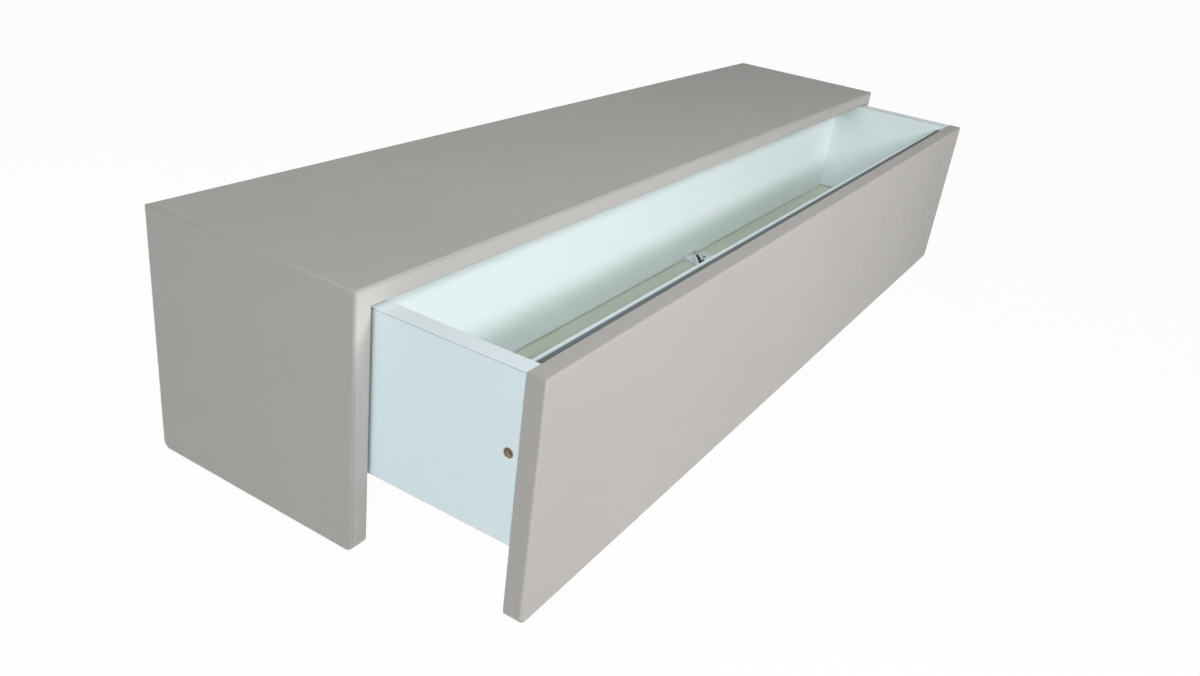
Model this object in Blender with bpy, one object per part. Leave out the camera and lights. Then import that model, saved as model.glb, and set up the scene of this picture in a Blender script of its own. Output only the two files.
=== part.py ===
"""Wall-hung sideboard with one wide drawer, modelled with the drawer pulled out.

Metres, +Z up. X runs along the width, the wall is the plane y = 0 and the front faces -Y.
The origin lies on the back, midway between the two hanging plates.
The drawer's pieces are placed in the frame of an empty on the slide's axis, whose y = 0 is the
visible face of the drawer front, so the same sizes serve the drawer wherever it stands.
"""
import math

import bmesh
import bpy
from mathutils import Matrix, Vector

# Case
CASE_WIDTH = 1.500
CASE_DEPTH = 0.300
CASE_HEIGHT = 0.300
CASE_BOARD = 0.022
CORNER_RADIUS = 0.010
ARRIS = 0.003
FINE_ARRIS = 0.001
GAP = 0.0003

# Back and rear rails
BACK_SHEET = 0.004
BACK_REBATE = 0.010
BACK_RISE = 0.021
REAR_RAIL = 0.018
TOP_RAIL_HEIGHT = 0.080
LOW_RAIL_HEIGHT = 0.060

# Splines in the mitred corners
SPLINE_THICK = 0.004
SPLINE_WIDTH = 0.014
SPLINE_INSET = 0.012
SPLINE_STOP = 0.025

# Dowels
DOWEL_RADIUS = 0.004
DOWEL_LENGTH = 0.030
DOWEL_SEAT = 0.012
DOWEL_CLEAR = 0.001
DOWEL_CHAMFER = 0.001
RAIL_DOWEL_MARGIN = 0.016

# Hanging plates
HANG_DROP = 0.060
HANG_INSET = 0.078
PLATE_WIDTH = 0.070
PLATE_RISE = 0.012
PLATE_DROP = 0.024
PLATE_STEEL = 0.002
PLATE_MARGIN = 0.002
PLATE_SCREW_SPREAD = 0.052
KEYHOLE_RADIUS = 0.0055
KEYHOLE_SLOT = 0.0025
KEYHOLE_DROP = 0.012
KEYHOLE_POCKET = 0.010
KEYHOLE_POCKET_MARGIN = 0.003

# Drawer
DRAWER_OUT = 0.200
FRONT_BOARD = 0.022
FRONT_SIDE_REVEAL = 0.003
FRONT_TOP_REVEAL = 0.002
DRAWER_BOARD = 0.022
DRAWER_SIDE_CLEAR = 0.0035
DRAWER_TOP_CLEAR = 0.0025
DRAWER_RISE = 0.087
DRAWER_REAR_CLEAR = 0.006
INNER_FRONT_DROP = 0.010
FLOOR_SHEET = 0.006
FLOOR_REBATE = 0.010
LOW_DOWEL_RISE = 0.032
HIGH_DOWEL_DROP = 0.026

# Connector screws in the drawer's sides
CONNECTOR_DROP = 0.0785
CONNECTOR_RADIUS = 0.0025
CONNECTOR_LENGTH = 0.045
CONNECTOR_HEAD_RADIUS = 0.0047
CONNECTOR_HEAD = 0.003
CONNECTOR_SINK_RADIUS = 0.0055
CONNECTOR_SINK = 0.009

# Screws that hold the front to the board behind it
FRONT_SCREWS = 4
FRONT_SCREW_INSET = 0.080
FRONT_SCREW_BITE = 0.014

# Wood screws
SCREW_RADIUS = 0.00175
SCREW_LENGTH = 0.014
SCREW_HEAD_RADIUS = 0.0034
SCREW_HEAD = 0.0014
SCREW_TIP = 0.004
SCREW_DRIVE_RADIUS = 0.0012
SCREW_DRIVE = 0.0007

# Runners under the drawer
RUNNER_STEEL = 0.0012
RUNNER_CLEAR = 0.0004
RUNNER_BAR = 0.005
RUNNER_CENTRE = 0.023
RUNNER_START = 0.030
RUNNER_REAR_CLEAR = 0.0077
RUNNER_LEG = 0.0105
RUNNER_STEP = 0.002
FLANGE_HEIGHT = 0.022
FLANGE_DROP = 0.003
FLANGE_SCREW_MARGIN = 0.040

# Clips that lock the drawer to its rails
CLIP_WIDTH = 0.030
CLIP_LENGTH = 0.036
CLIP_HEIGHT = 0.0100
CLIP_SETBACK = 0.008
CLIP_LEVER = 0.012
CLIP_NOTCH = 0.004

# Ribbed bracket between the drawer's floor and its back, with each rib's place as a share of the width
BRACKET_OFFSET = 0.056
BRACKET_WIDTH = 0.062
BRACKET_REACH = 0.034
BRACKET_HEIGHT = 0.0078
BRACKET_STEEL = 0.0015
BRACKET_RIBS = (0.0, 0.36, 1.0)
BRACKET_SCREW_SHARE = 0.68
BRACKET_SCREW_RADIUS = 0.0014
BRACKET_SCREW_LENGTH = 0.0055
BRACKET_HEAD_RADIUS = 0.0028
BRACKET_HEAD = 0.0012

# Fineness of round shapes
ARRIS_STEPS = 3
CORNER_STEPS = 6
ROD_SIDES = 12
EDGE_ANGLE = math.radians(35)
MERGE = 1e-6
OVERCUT = 0.004

# Levels and planes that follow from the sizes above
TOP = HANG_DROP
BASE = TOP - CASE_HEIGHT
INNER_TOP = TOP - CASE_BOARD
HALF = CASE_WIDTH / 2
INNER_HALF = HALF - CASE_BOARD
CASE_FRONT = -CASE_DEPTH
RAIL_BACK = -(BACK_SHEET + GAP)
RAIL_FRONT = RAIL_BACK - REAR_RAIL
BACK_BOTTOM = BASE + BACK_RISE

# The drawer's planes, with y measured from the face of its front
FRONT_HALF = INNER_HALF - FRONT_SIDE_REVEAL
FRONT_TOP = INNER_TOP - FRONT_TOP_REVEAL
SIDE_OUTER = INNER_HALF - DRAWER_SIDE_CLEAR
SIDE_INNER = SIDE_OUTER - DRAWER_BOARD
SIDE_TOP = INNER_TOP - DRAWER_TOP_CLEAR
SIDE_BOTTOM = BASE + DRAWER_RISE
FLOOR_TOP = SIDE_BOTTOM + FLOOR_SHEET
BOX_FRONT = FRONT_BOARD + GAP
BOX_BACK = RAIL_FRONT - DRAWER_REAR_CLEAR - CASE_FRONT
INNER_FACE = BOX_FRONT + DRAWER_BOARD
BACK_FACE = BOX_BACK - DRAWER_BOARD
INNER_FRONT_TOP = FRONT_TOP - INNER_FRONT_DROP

# The runner's nested profiles: half widths and levels
BAR_HALF = RUNNER_BAR / 2
MIDDLE_INNER = BAR_HALF + RUNNER_CLEAR
MIDDLE_OUTER = MIDDLE_INNER + RUNNER_STEEL
RAIL_INNER = MIDDLE_OUTER + RUNNER_CLEAR
RAIL_OUTER = RAIL_INNER + RUNNER_STEEL
RAIL_TOP = SIDE_BOTTOM - GAP
MIDDLE_TOP = RAIL_TOP - RUNNER_STEEL - RUNNER_CLEAR
BAR_TOP = MIDDLE_TOP - RUNNER_STEEL - RUNNER_CLEAR
RAIL_FOOT = RAIL_TOP - RUNNER_LEG
MIDDLE_FOOT = RAIL_FOOT - RUNNER_STEP
RUNNER_LENGTH = RAIL_FRONT - RUNNER_REAR_CLEAR - CASE_FRONT - RUNNER_START
FLANGE_TOP = SIDE_BOTTOM - FLANGE_DROP
FLANGE_FOOT = FLANGE_TOP - FLANGE_HEIGHT

SIDES = (("left", -1), ("right", 1))


def linear(hex_code):
    """Return a colour written as sRGB hexadecimal as linear red, green, blue and alpha."""
    parts = [int(hex_code[i:i + 2], 16) / 255 for i in (0, 2, 4)]
    return [p / 12.92 if p <= 0.04045 else ((p + 0.055) / 1.055) ** 2.4 for p in parts] + [1.0]


def make_material(name, hex_code, roughness, metallic=0.0):
    """Make a plain material of one colour."""
    material = bpy.data.materials.new(name)
    material.use_nodes = True
    shader = material.node_tree.nodes["Principled BSDF"]
    shader.inputs["Base Color"].default_value = linear(hex_code)
    shader.inputs["Roughness"].default_value = roughness
    shader.inputs["Metallic"].default_value = metallic
    material.diffuse_color = linear(hex_code)
    return material


def make_empty(name, place):
    """Make an empty on a slide's axis, which carries the pieces that move with it."""
    empty = bpy.data.objects.new(name, None)
    empty.location = place
    bpy.context.scene.collection.objects.link(empty)
    return empty


def make_object(name, bm, material=None, parent=None, smooth=False):
    """Turn a bmesh in its parent's frame into an object with its origin in the middle of its box."""
    low = Vector([min(v.co[i] for v in bm.verts) for i in range(3)])
    high = Vector([max(v.co[i] for v in bm.verts) for i in range(3)])
    middle = (low + high) / 2
    bmesh.ops.translate(bm, verts=bm.verts, vec=-middle)
    bmesh.ops.recalc_face_normals(bm, faces=bm.faces)
    mesh = bpy.data.meshes.new(name)
    bm.to_mesh(mesh)
    bm.free()
    if material:
        mesh.materials.append(material)
    if smooth:
        mesh.shade_smooth()
        mesh.set_sharp_from_angle(angle=EDGE_ANGLE)
    thing = bpy.data.objects.new(name, mesh)
    thing.location = middle
    thing.parent = parent
    bpy.context.scene.collection.objects.link(thing)
    return thing


def shape_with(targets, name, bm, parent=None, operation="DIFFERENCE"):
    """Cut a shape out of each target, or join it to them, with the shape kept as a guide."""
    guide = make_object(name, bm, parent=parent)
    guide.hide_render = True
    guide.display_type = "WIRE"
    for target in targets:
        modifier = target.modifiers.new(name, "BOOLEAN")
        modifier.operation = operation
        modifier.solver = "EXACT"
        modifier.object = guide


def add_box(bm, low, high):
    """Add a box between two corners."""
    low, high = Vector(low), Vector(high)
    place = Matrix.Translation((low + high) / 2) @ Matrix.Diagonal((*(high - low), 1.0))
    bmesh.ops.create_cube(bm, size=1.0, matrix=place)


def add_prism(bm, outline, axis, low, high):
    """Extrude an outline along X or Y; its pairs are the other two coordinates in order."""
    def corner(pair):
        return (low, *pair) if axis == "X" else (pair[0], low, pair[1])

    face = bm.faces.new([bm.verts.new(corner(pair)) for pair in outline])
    grown = bmesh.ops.extrude_face_region(bm, geom=[face])["geom"]
    verts = [g for g in grown if isinstance(g, bmesh.types.BMVert)]
    run = high - low
    bmesh.ops.translate(bm, verts=verts, vec=(run, 0, 0) if axis == "X" else (0, run, 0))


def pointing(start, direction):
    """Return the placing of a shape made along +Z that starts at a point and runs in a direction."""
    turn = Vector(direction).to_track_quat("Z", "Y").to_matrix().to_4x4()
    return Matrix.Translation(start) @ turn


def add_rod(bm, start, direction, length, radius):
    """Add a round rod, such as a bore's cutter."""
    place = pointing(start, direction) @ Matrix.Translation((0, 0, length / 2))
    bmesh.ops.create_cone(bm, cap_ends=True, segments=ROD_SIDES, radius1=radius, radius2=radius,
                          depth=length, matrix=place)


def turned(profile, start, direction):
    """Spin (radius, distance) pairs, from axis to axis, about a line and return the bmesh."""
    bm = bmesh.new()
    verts = [bm.verts.new((radius, 0, distance)) for radius, distance in profile]
    edges = [bm.edges.new(pair) for pair in zip(verts, verts[1:])]
    bmesh.ops.spin(bm, geom=verts + edges, axis=(0, 0, 1), cent=(0, 0, 0), angle=math.tau,
                   steps=ROD_SIDES)
    bmesh.ops.remove_doubles(bm, verts=bm.verts, dist=MERGE)
    bmesh.ops.transform(bm, matrix=pointing(start, direction), verts=bm.verts)
    return bm


def make_dowel(name, start, direction, parent=None):
    """Make a wooden dowel with chamfered ends, which starts at its inner end in a board's face."""
    rim = DOWEL_RADIUS - DOWEL_CHAMFER
    profile = ((0, 0), (rim, 0), (DOWEL_RADIUS, DOWEL_CHAMFER),
               (DOWEL_RADIUS, DOWEL_LENGTH - DOWEL_CHAMFER), (rim, DOWEL_LENGTH), (0, DOWEL_LENGTH))
    make_object(name, turned(profile, start, direction), BEECH, parent, smooth=True)


def make_screw(name, seat, direction, length, parent=None, radius=SCREW_RADIUS,
               head_radius=SCREW_HEAD_RADIUS, head=SCREW_HEAD):
    """Make a screw whose head lies on a seat and whose shank runs from it in a direction."""
    direction = Vector(direction)
    profile = ((0, SCREW_DRIVE - head), (SCREW_DRIVE_RADIUS, SCREW_DRIVE - head),
               (SCREW_DRIVE_RADIUS, -head), (head_radius - head / 2, -head), (head_radius, -head / 2),
               (head_radius, 0), (radius, 0), (radius, length - SCREW_TIP), (0, length))
    start = Vector(seat) - direction * GAP
    make_object(name, turned(profile, start, direction), ZINC, parent, smooth=True)


def add_screw_bore(bm, seat, direction, length, radius=SCREW_RADIUS):
    """Add the cutter of a screw's bore, from just outside the seat to just past the tip."""
    direction = Vector(direction)
    add_rod(bm, Vector(seat) - direction * OVERCUT, direction, OVERCUT + length, radius + GAP)


def on_plane(axis, level):
    """Return a test that an edge lies on a plane square to an axis."""
    return lambda a, b: abs(a.co[axis] - level) < MERGE and abs(b.co[axis] - level) < MERGE


def ease(bm, width, steps, test):
    """Round the sharp edges that pass a test on their two ends."""
    edges = [e for e in bm.edges if test(*e.verts) and e.calc_face_angle(0) > EDGE_ANGLE]
    bmesh.ops.bevel(bm, geom=edges, offset=width, offset_type="OFFSET", segments=steps, profile=0.5,
                    affect="EDGES", clamp_overlap=True)


def board(low, high, ease_planes=()):
    """Return a board with its edges rounded on the given (axis, level, width) planes."""
    bm = bmesh.new()
    add_box(bm, low, high)
    for axis, level, width in ease_planes:
        ease(bm, width, 1 if width <= FINE_ARRIS else ARRIS_STEPS, on_plane(axis, level))
    return bm


def cut_mitre(bm, side, keep_top):
    """Cut a board along the mitre between the top board and an end panel, half a gap away from it."""
    normal = Vector((-side, 0, 1)).normalized()
    shift = GAP / 2 if keep_top else -GAP / 2
    place = Vector((side * HALF, 0, TOP)) + normal * shift
    parts = [*bm.verts, *bm.edges, *bm.faces]
    cut = bmesh.ops.bisect_plane(bm, geom=parts, plane_co=place, plane_no=normal,
                                 clear_inner=keep_top, clear_outer=not keep_top)
    rim = [g for g in cut["geom_cut"] if isinstance(g, bmesh.types.BMEdge)]
    bmesh.ops.holes_fill(bm, edges=rim)


def make_top_board():
    """Make the top, mitred at both ends."""
    bm = board((-HALF, CASE_FRONT, INNER_TOP), (HALF, 0, TOP), ((2, TOP, ARRIS),))
    ease(bm, FINE_ARRIS, 1, lambda a, b: on_plane(2, INNER_TOP)(a, b) and on_plane(1, CASE_FRONT)(a, b))
    for _, side in SIDES:
        cut_mitre(bm, side, keep_top=True)
    return make_object("top_board", bm, LACQUER)


def make_end_panel(name, side):
    """Make an end panel, mitred at its top and round at its lower corners."""
    inner, outer = side * INNER_HALF, side * HALF
    bm = bmesh.new()
    add_box(bm, (min(inner, outer), CASE_FRONT, BASE), (max(inner, outer), 0, TOP))
    ease(bm, CORNER_RADIUS, CORNER_STEPS,
         lambda a, b: on_plane(2, BASE)(a, b) and abs(a.co.y - b.co.y) < MERGE)
    ease(bm, ARRIS, ARRIS_STEPS, on_plane(0, outer))
    ease(bm, FINE_ARRIS, 1, on_plane(0, inner))
    cut_mitre(bm, side, keep_top=False)
    return make_object(f"{name}_end_panel", bm, LACQUER)


def make_back(ends, top):
    """Make the back panel in its rebates and the two rails in front of it."""
    panel_low = (-(INNER_HALF + BACK_REBATE - GAP), -BACK_SHEET, BACK_BOTTOM)
    panel_high = (-panel_low[0], 0, INNER_TOP + BACK_REBATE - GAP)
    panel = make_object("back_panel", board(panel_low, panel_high), LACQUER)
    rebate = bmesh.new()
    add_box(rebate, (-(INNER_HALF + BACK_REBATE), RAIL_BACK, BACK_BOTTOM - GAP),
            (INNER_HALF + BACK_REBATE, OVERCUT, INNER_TOP + BACK_REBATE))
    shape_with([top, *ends], "back_rebate", rebate)

    reach = INNER_HALF - GAP
    upper_top = INNER_TOP - GAP
    upper = make_object("top_hanging_rail", board((-reach, RAIL_FRONT, upper_top - TOP_RAIL_HEIGHT),
                                                  (reach, RAIL_BACK, upper_top)), LACQUER)
    lower = make_object("bottom_rear_rail", board((-reach, RAIL_FRONT, BACK_BOTTOM),
                                                  (reach, RAIL_BACK, BACK_BOTTOM + LOW_RAIL_HEIGHT)),
                        LACQUER)
    levels = (("upper_back", upper_top - RAIL_DOWEL_MARGIN),
              ("upper_front", upper_top - TOP_RAIL_HEIGHT + RAIL_DOWEL_MARGIN),
              ("lower_back", BACK_BOTTOM + LOW_RAIL_HEIGHT - RAIL_DOWEL_MARGIN),
              ("lower_front", BACK_BOTTOM + RAIL_DOWEL_MARGIN))
    names = {"upper_back": "top_rail_dowel_high", "upper_front": "top_rail_dowel_low",
             "lower_back": "bottom_rail_dowel_high", "lower_front": "bottom_rail_dowel_low"}
    for (name, side), end in zip(SIDES, ends):
        bores = bmesh.new()
        for key, level in levels:
            start = Vector((side * (INNER_HALF + DOWEL_SEAT), (RAIL_FRONT + RAIL_BACK) / 2, level))
            inward = Vector((-side, 0, 0))
            make_dowel(f"{name}_{names[key]}", start, inward)
            add_rod(bores, start - inward * DOWEL_CLEAR, inward, DOWEL_LENGTH + 2 * DOWEL_CLEAR,
                    DOWEL_RADIUS + GAP)
        shape_with([end, upper, lower], f"{name}_rail_bores", bores)
    return panel, upper


def make_splines(ends, top):
    """Make the splines that lie square across the mitres."""
    front = CASE_FRONT + SPLINE_STOP
    back = RAIL_BACK - SPLINE_STOP
    for (name, side), end in zip(SIDES, ends):
        along = Vector((side, 0, 1)).normalized()
        middle = Vector((side * INNER_HALF, (front + back) / 2, INNER_TOP)) + along * SPLINE_INSET
        turn = Matrix.Rotation(-side * math.pi / 4, 4, "Y")
        half = Vector((SPLINE_THICK, back - front, SPLINE_WIDTH)) / 2
        room = half + Vector((GAP, GAP, GAP))
        for kind, size in (("spline", half), ("spline_groove", room)):
            bm = bmesh.new()
            add_box(bm, -size, size)
            if kind == "spline":
                spline = make_object(f"{name}_mitre_spline", bm, PLYWOOD)
                spline.matrix_world = Matrix.Translation(middle) @ turn
            else:
                bmesh.ops.transform(bm, matrix=Matrix.Translation(middle) @ turn, verts=bm.verts)
                shape_with([end, top], f"{name}_mitre_groove", bm)


def make_hanging_plates(panel, rail):
    """Make the two keyhole plates in the back, with their screws."""
    for name, side in SIDES:
        middle = side * (INNER_HALF - HANG_INSET)
        face = RAIL_BACK + GAP
        plate = make_object(f"{name}_hanging_plate",
                            board((middle - PLATE_WIDTH / 2, face, -PLATE_DROP),
                                  (middle + PLATE_WIDTH / 2, face + PLATE_STEEL, PLATE_RISE)), STEEL)
        window = bmesh.new()
        margin = PLATE_WIDTH / 2 + PLATE_MARGIN
        add_box(window, (middle - margin, RAIL_BACK - GAP, -PLATE_DROP - PLATE_MARGIN),
                (middle + margin, OVERCUT, PLATE_RISE + PLATE_MARGIN))
        shape_with([panel], f"{name}_plate_window", window)

        keyhole = bmesh.new()
        out = Vector((0, 1, 0))
        depth = PLATE_STEEL + 2 * OVERCUT
        add_rod(keyhole, (middle, face - OVERCUT, -KEYHOLE_DROP), out, depth, KEYHOLE_RADIUS)
        shape_with([plate], f"{name}_keyhole", keyhole)
        slot = bmesh.new()
        add_box(slot, (middle - KEYHOLE_SLOT, face - OVERCUT, -KEYHOLE_DROP),
                (middle + KEYHOLE_SLOT, face + depth - OVERCUT, -KEYHOLE_SLOT))
        shape_with([plate], f"{name}_keyhole_slot", slot)
        crown = bmesh.new()
        add_rod(crown, (middle, face - OVERCUT, -KEYHOLE_SLOT), out, depth, KEYHOLE_SLOT)
        shape_with([plate], f"{name}_keyhole_crown", crown)
        pocket = bmesh.new()
        reach = KEYHOLE_RADIUS + KEYHOLE_POCKET_MARGIN
        add_box(pocket, (middle - reach, RAIL_BACK - KEYHOLE_POCKET, -KEYHOLE_DROP - reach),
                (middle + reach, RAIL_BACK + OVERCUT, KEYHOLE_POCKET_MARGIN))
        shape_with([rail], f"{name}_keyhole_pocket", pocket)

        bores = bmesh.new()
        level = (PLATE_RISE - PLATE_DROP) / 2
        for place, offset in (("outer", side), ("inner", -side)):
            seat = Vector((middle + offset * PLATE_SCREW_SPREAD / 2, face + PLATE_STEEL, level))
            make_screw(f"{name}_hanging_screw_{place}", seat, -out, SCREW_LENGTH)
            add_screw_bore(bores, seat, -out, SCREW_LENGTH)
        shape_with([plate, rail], f"{name}_hanging_screw_bores", bores)


def hat_outline(centre, inner, outer, top, foot):
    """Return the outline of an inverted channel, as (x, z) pairs."""
    web = top - RUNNER_STEEL
    return ((centre - outer, foot), (centre - outer, top), (centre + outer, top), (centre + outer, foot),
            (centre + inner, foot), (centre + inner, web), (centre - inner, web), (centre - inner, foot))


def make_runners(ends, drawer):
    """Make the runners: cabinet rail, intermediate rail and drawer rail on each side."""
    start = CASE_FRONT + RUNNER_START
    end = start + RUNNER_LENGTH
    for (name, side), panel in zip(SIDES, ends):
        wall = INNER_HALF - GAP
        flange = wall - RUNNER_STEEL
        centre = INNER_HALF - RUNNER_CENTRE
        web = FLANGE_FOOT + RUNNER_STEEL
        outline = [(wall, FLANGE_FOOT), (wall, FLANGE_TOP), (flange, FLANGE_TOP), (flange, web),
                   (centre + BAR_HALF, web), (centre + BAR_HALF, BAR_TOP), (centre - BAR_HALF, BAR_TOP),
                   (centre - BAR_HALF, FLANGE_FOOT)]
        bm = bmesh.new()
        add_prism(bm, [(side * x, z) for x, z in outline], "Y", start, end)
        cabinet = make_object(f"{name}_cabinet_rail", bm, STEEL)

        bores = bmesh.new()
        outward = Vector((side, 0, 0))
        level = (FLANGE_TOP + web) / 2
        for place, y in (("front", start + FLANGE_SCREW_MARGIN), ("rear", end - FLANGE_SCREW_MARGIN)):
            seat = Vector((side * flange, y, level))
            make_screw(f"{name}_rail_screw_{place}", seat, outward, SCREW_LENGTH)
            add_screw_bore(bores, seat, outward, SCREW_LENGTH)
        shape_with([cabinet, panel], f"{name}_rail_screw_bores", bores)

        slide = make_empty(f"{name}_runner_slide", (side * centre, CASE_FRONT - DRAWER_OUT / 2, MIDDLE_TOP))
        middle = bmesh.new()
        add_prism(middle, hat_outline(0, MIDDLE_INNER, MIDDLE_OUTER, 0, MIDDLE_FOOT - MIDDLE_TOP), "Y",
                  RUNNER_START, RUNNER_START + RUNNER_LENGTH)
        make_object(f"{name}_intermediate_rail", middle, STEEL, slide)

        rail = bmesh.new()
        add_prism(rail, hat_outline(side * centre, RAIL_INNER, RAIL_OUTER, RAIL_TOP, RAIL_FOOT), "Y",
                  RUNNER_START, RUNNER_START + RUNNER_LENGTH)
        make_object(f"{name}_drawer_rail", rail, STEEL, drawer)

        make_clip(name, side, centre - RAIL_OUTER - GAP, drawer)


def make_clip(name, side, outer, drawer):
    """Make the clip beside a drawer rail's front end, with its finger lever."""
    front = BOX_FRONT + CLIP_SETBACK
    lever = front + CLIP_LEVER
    back = front + CLIP_LENGTH
    foot = RAIL_TOP - CLIP_HEIGHT
    outline = ((front, foot + CLIP_NOTCH), (lever, foot + CLIP_NOTCH), (lever + CLIP_NOTCH, foot), (back, foot),
               (back, RAIL_TOP), (front, RAIL_TOP))
    inner = outer - CLIP_WIDTH
    bm = bmesh.new()
    low, high = sorted((side * inner, side * outer))
    add_prism(bm, outline, "X", low, high)
    make_object(f"{name}_front_clip", bm, NYLON, drawer)


def make_drawer_front(drawer):
    """Make the visible front, round at its lower corners and eased all round."""
    bm = bmesh.new()
    add_box(bm, (-FRONT_HALF, 0, BASE), (FRONT_HALF, FRONT_BOARD, FRONT_TOP))
    ease(bm, CORNER_RADIUS, CORNER_STEPS,
         lambda a, b: on_plane(2, BASE)(a, b) and abs(a.co.x - b.co.x) < MERGE)
    ease(bm, ARRIS, ARRIS_STEPS, on_plane(1, 0))
    ease(bm, FINE_ARRIS, 1, on_plane(1, FRONT_BOARD))
    return make_object("drawer_front", bm, LACQUER, drawer)


def make_drawer_box(drawer):
    """Make the drawer's four walls and its floor, with the dowels and connectors between them."""
    walls = []
    for name, side in SIDES:
        low, high = sorted((side * SIDE_INNER, side * SIDE_OUTER))
        bm = board((low, BOX_FRONT, SIDE_BOTTOM), (high, BOX_BACK, SIDE_TOP), ((2, SIDE_TOP, FINE_ARRIS),))
        walls.append(make_object(f"drawer_{name}_side", bm, MELAMINE, drawer))
    reach = SIDE_INNER - GAP
    inner_front = make_object("drawer_inner_front",
                              board((-reach, BOX_FRONT, SIDE_BOTTOM), (reach, INNER_FACE, INNER_FRONT_TOP),
                                    ((2, INNER_FRONT_TOP, FINE_ARRIS),)), MELAMINE, drawer)
    back = make_object("drawer_back", board((-reach, BACK_FACE, SIDE_BOTTOM), (reach, BOX_BACK, SIDE_TOP),
                                            ((2, SIDE_TOP, FINE_ARRIS),)), MELAMINE, drawer)

    sink = FLOOR_REBATE - GAP
    floor = make_object("drawer_floor", board((-(SIDE_INNER + sink), INNER_FACE - sink, SIDE_BOTTOM),
                                              (SIDE_INNER + sink, BACK_FACE + sink, FLOOR_TOP)), MELAMINE,
                        drawer)
    rebate = bmesh.new()
    add_box(rebate, (-(SIDE_INNER + FLOOR_REBATE), INNER_FACE - FLOOR_REBATE, SIDE_BOTTOM - OVERCUT),
            (SIDE_INNER + FLOOR_REBATE, BACK_FACE + FLOOR_REBATE, FLOOR_TOP + GAP))
    shape_with([*walls, inner_front, back], "floor_rebate", rebate, drawer)

    levels = (("low", FLOOR_TOP + LOW_DOWEL_RISE), ("high", INNER_FRONT_TOP - HIGH_DOWEL_DROP))
    for (name, side), wall in zip(SIDES, walls):
        inward = Vector((-side, 0, 0))
        bores = bmesh.new()
        for place, y in (("front", BOX_FRONT + DRAWER_BOARD / 2), ("back", BOX_BACK - DRAWER_BOARD / 2)):
            for level, z in levels:
                start = Vector((side * (SIDE_INNER + DOWEL_SEAT), y, z))
                make_dowel(f"drawer_{place}_dowel_{name}_{level}", start, inward, drawer)
                add_rod(bores, start - inward * DOWEL_CLEAR, inward, DOWEL_LENGTH + 2 * DOWEL_CLEAR,
                        DOWEL_RADIUS + GAP)
        shape_with([wall, inner_front, back], f"{name}_drawer_dowel_bores", bores, drawer)
        make_connector(name, side, wall, inner_front, drawer)
    return inner_front, back, floor


def make_connector(name, side, wall, inner_front, drawer):
    """Make the sunk screw that holds a side to the board behind the front, and its stepped hole."""
    inward = Vector((-side, 0, 0))
    mouth = Vector((side * SIDE_OUTER, BOX_FRONT + DRAWER_BOARD / 2, INNER_FRONT_TOP - CONNECTOR_DROP))
    seat = mouth + inward * CONNECTOR_SINK
    make_screw(f"{name}_side_connector", seat, inward, CONNECTOR_LENGTH, drawer, CONNECTOR_RADIUS,
               CONNECTOR_HEAD_RADIUS, CONNECTOR_HEAD)
    sink = bmesh.new()
    add_rod(sink, mouth - inward * OVERCUT, inward, OVERCUT + CONNECTOR_SINK, CONNECTOR_SINK_RADIUS)
    shape_with([wall], f"{name}_connector_sink", sink, drawer)
    bore = bmesh.new()
    add_screw_bore(bore, seat, inward, CONNECTOR_LENGTH, CONNECTOR_RADIUS)
    shape_with([wall, inner_front], f"{name}_connector_bore", bore, drawer)


def make_front_screws(front, inner_front, drawer):
    """Make the row of screws through the inner board into the front, evenly spaced."""
    forward = Vector((0, -1, 0))
    length = DRAWER_BOARD + GAP + FRONT_SCREW_BITE
    first = -(SIDE_INNER - FRONT_SCREW_INSET)
    pitch = -2 * first / (FRONT_SCREWS - 1)
    bores = bmesh.new()
    for number in range(FRONT_SCREWS):
        seat = Vector((first + number * pitch, INNER_FACE, (SIDE_BOTTOM + INNER_FRONT_TOP) / 2))
        make_screw(f"front_screw_{number + 1}", seat, forward, length, drawer)
        add_screw_bore(bores, seat, forward, length)
    shape_with([front, inner_front], "front_screw_bores", bores, drawer)


def make_bracket(floor, back, drawer):
    """Make the low ribbed angle that ties the floor to the back, with its two screws."""
    face = BACK_FACE - GAP
    foot = FLOOR_TOP + GAP
    tip = face - BRACKET_REACH
    head = foot + BRACKET_HEIGHT
    bend = ((tip, foot), (face, foot), (face, head), (face - BRACKET_STEEL, head),
            (face - BRACKET_STEEL, foot + BRACKET_STEEL), (tip, foot + BRACKET_STEEL))
    bm = bmesh.new()
    add_prism(bm, bend, "X", BRACKET_OFFSET, BRACKET_OFFSET + BRACKET_WIDTH)
    bracket = make_object("floor_bracket", bm, STEEL, drawer)
    ribs = bmesh.new()
    sunk = BRACKET_STEEL / 2
    web = ((tip + BRACKET_STEEL, foot + sunk), (face - sunk, foot + sunk), (face - sunk, head - BRACKET_STEEL))
    first = BRACKET_OFFSET + BRACKET_STEEL
    run = BRACKET_WIDTH - 3 * BRACKET_STEEL
    for share in BRACKET_RIBS:
        start = first + share * run
        add_prism(ribs, web, "X", start, start + BRACKET_STEEL)
    shape_with([bracket], "floor_bracket_ribs", ribs, drawer, "UNION")

    across = first + BRACKET_SCREW_SHARE * run + sunk
    floor_seat = Vector((across, face - BRACKET_REACH / 2, foot + BRACKET_STEEL))
    back_seat = Vector((across, face - BRACKET_STEEL, (foot + BRACKET_STEEL + head) / 2))
    bores = bmesh.new()
    for name, seat, direction in (("bracket_floor_screw", floor_seat, (0, 0, -1)),
                                  ("bracket_back_screw", back_seat, (0, 1, 0))):
        make_screw(name, seat, direction, BRACKET_SCREW_LENGTH, drawer, BRACKET_SCREW_RADIUS,
                   BRACKET_HEAD_RADIUS, BRACKET_HEAD)
        add_screw_bore(bores, seat, direction, BRACKET_SCREW_LENGTH, BRACKET_SCREW_RADIUS)
    shape_with([bracket, floor, back], "bracket_screw_bores", bores, drawer)


for old in list(bpy.data.objects):
    bpy.data.objects.remove(old, do_unlink=True)

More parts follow.
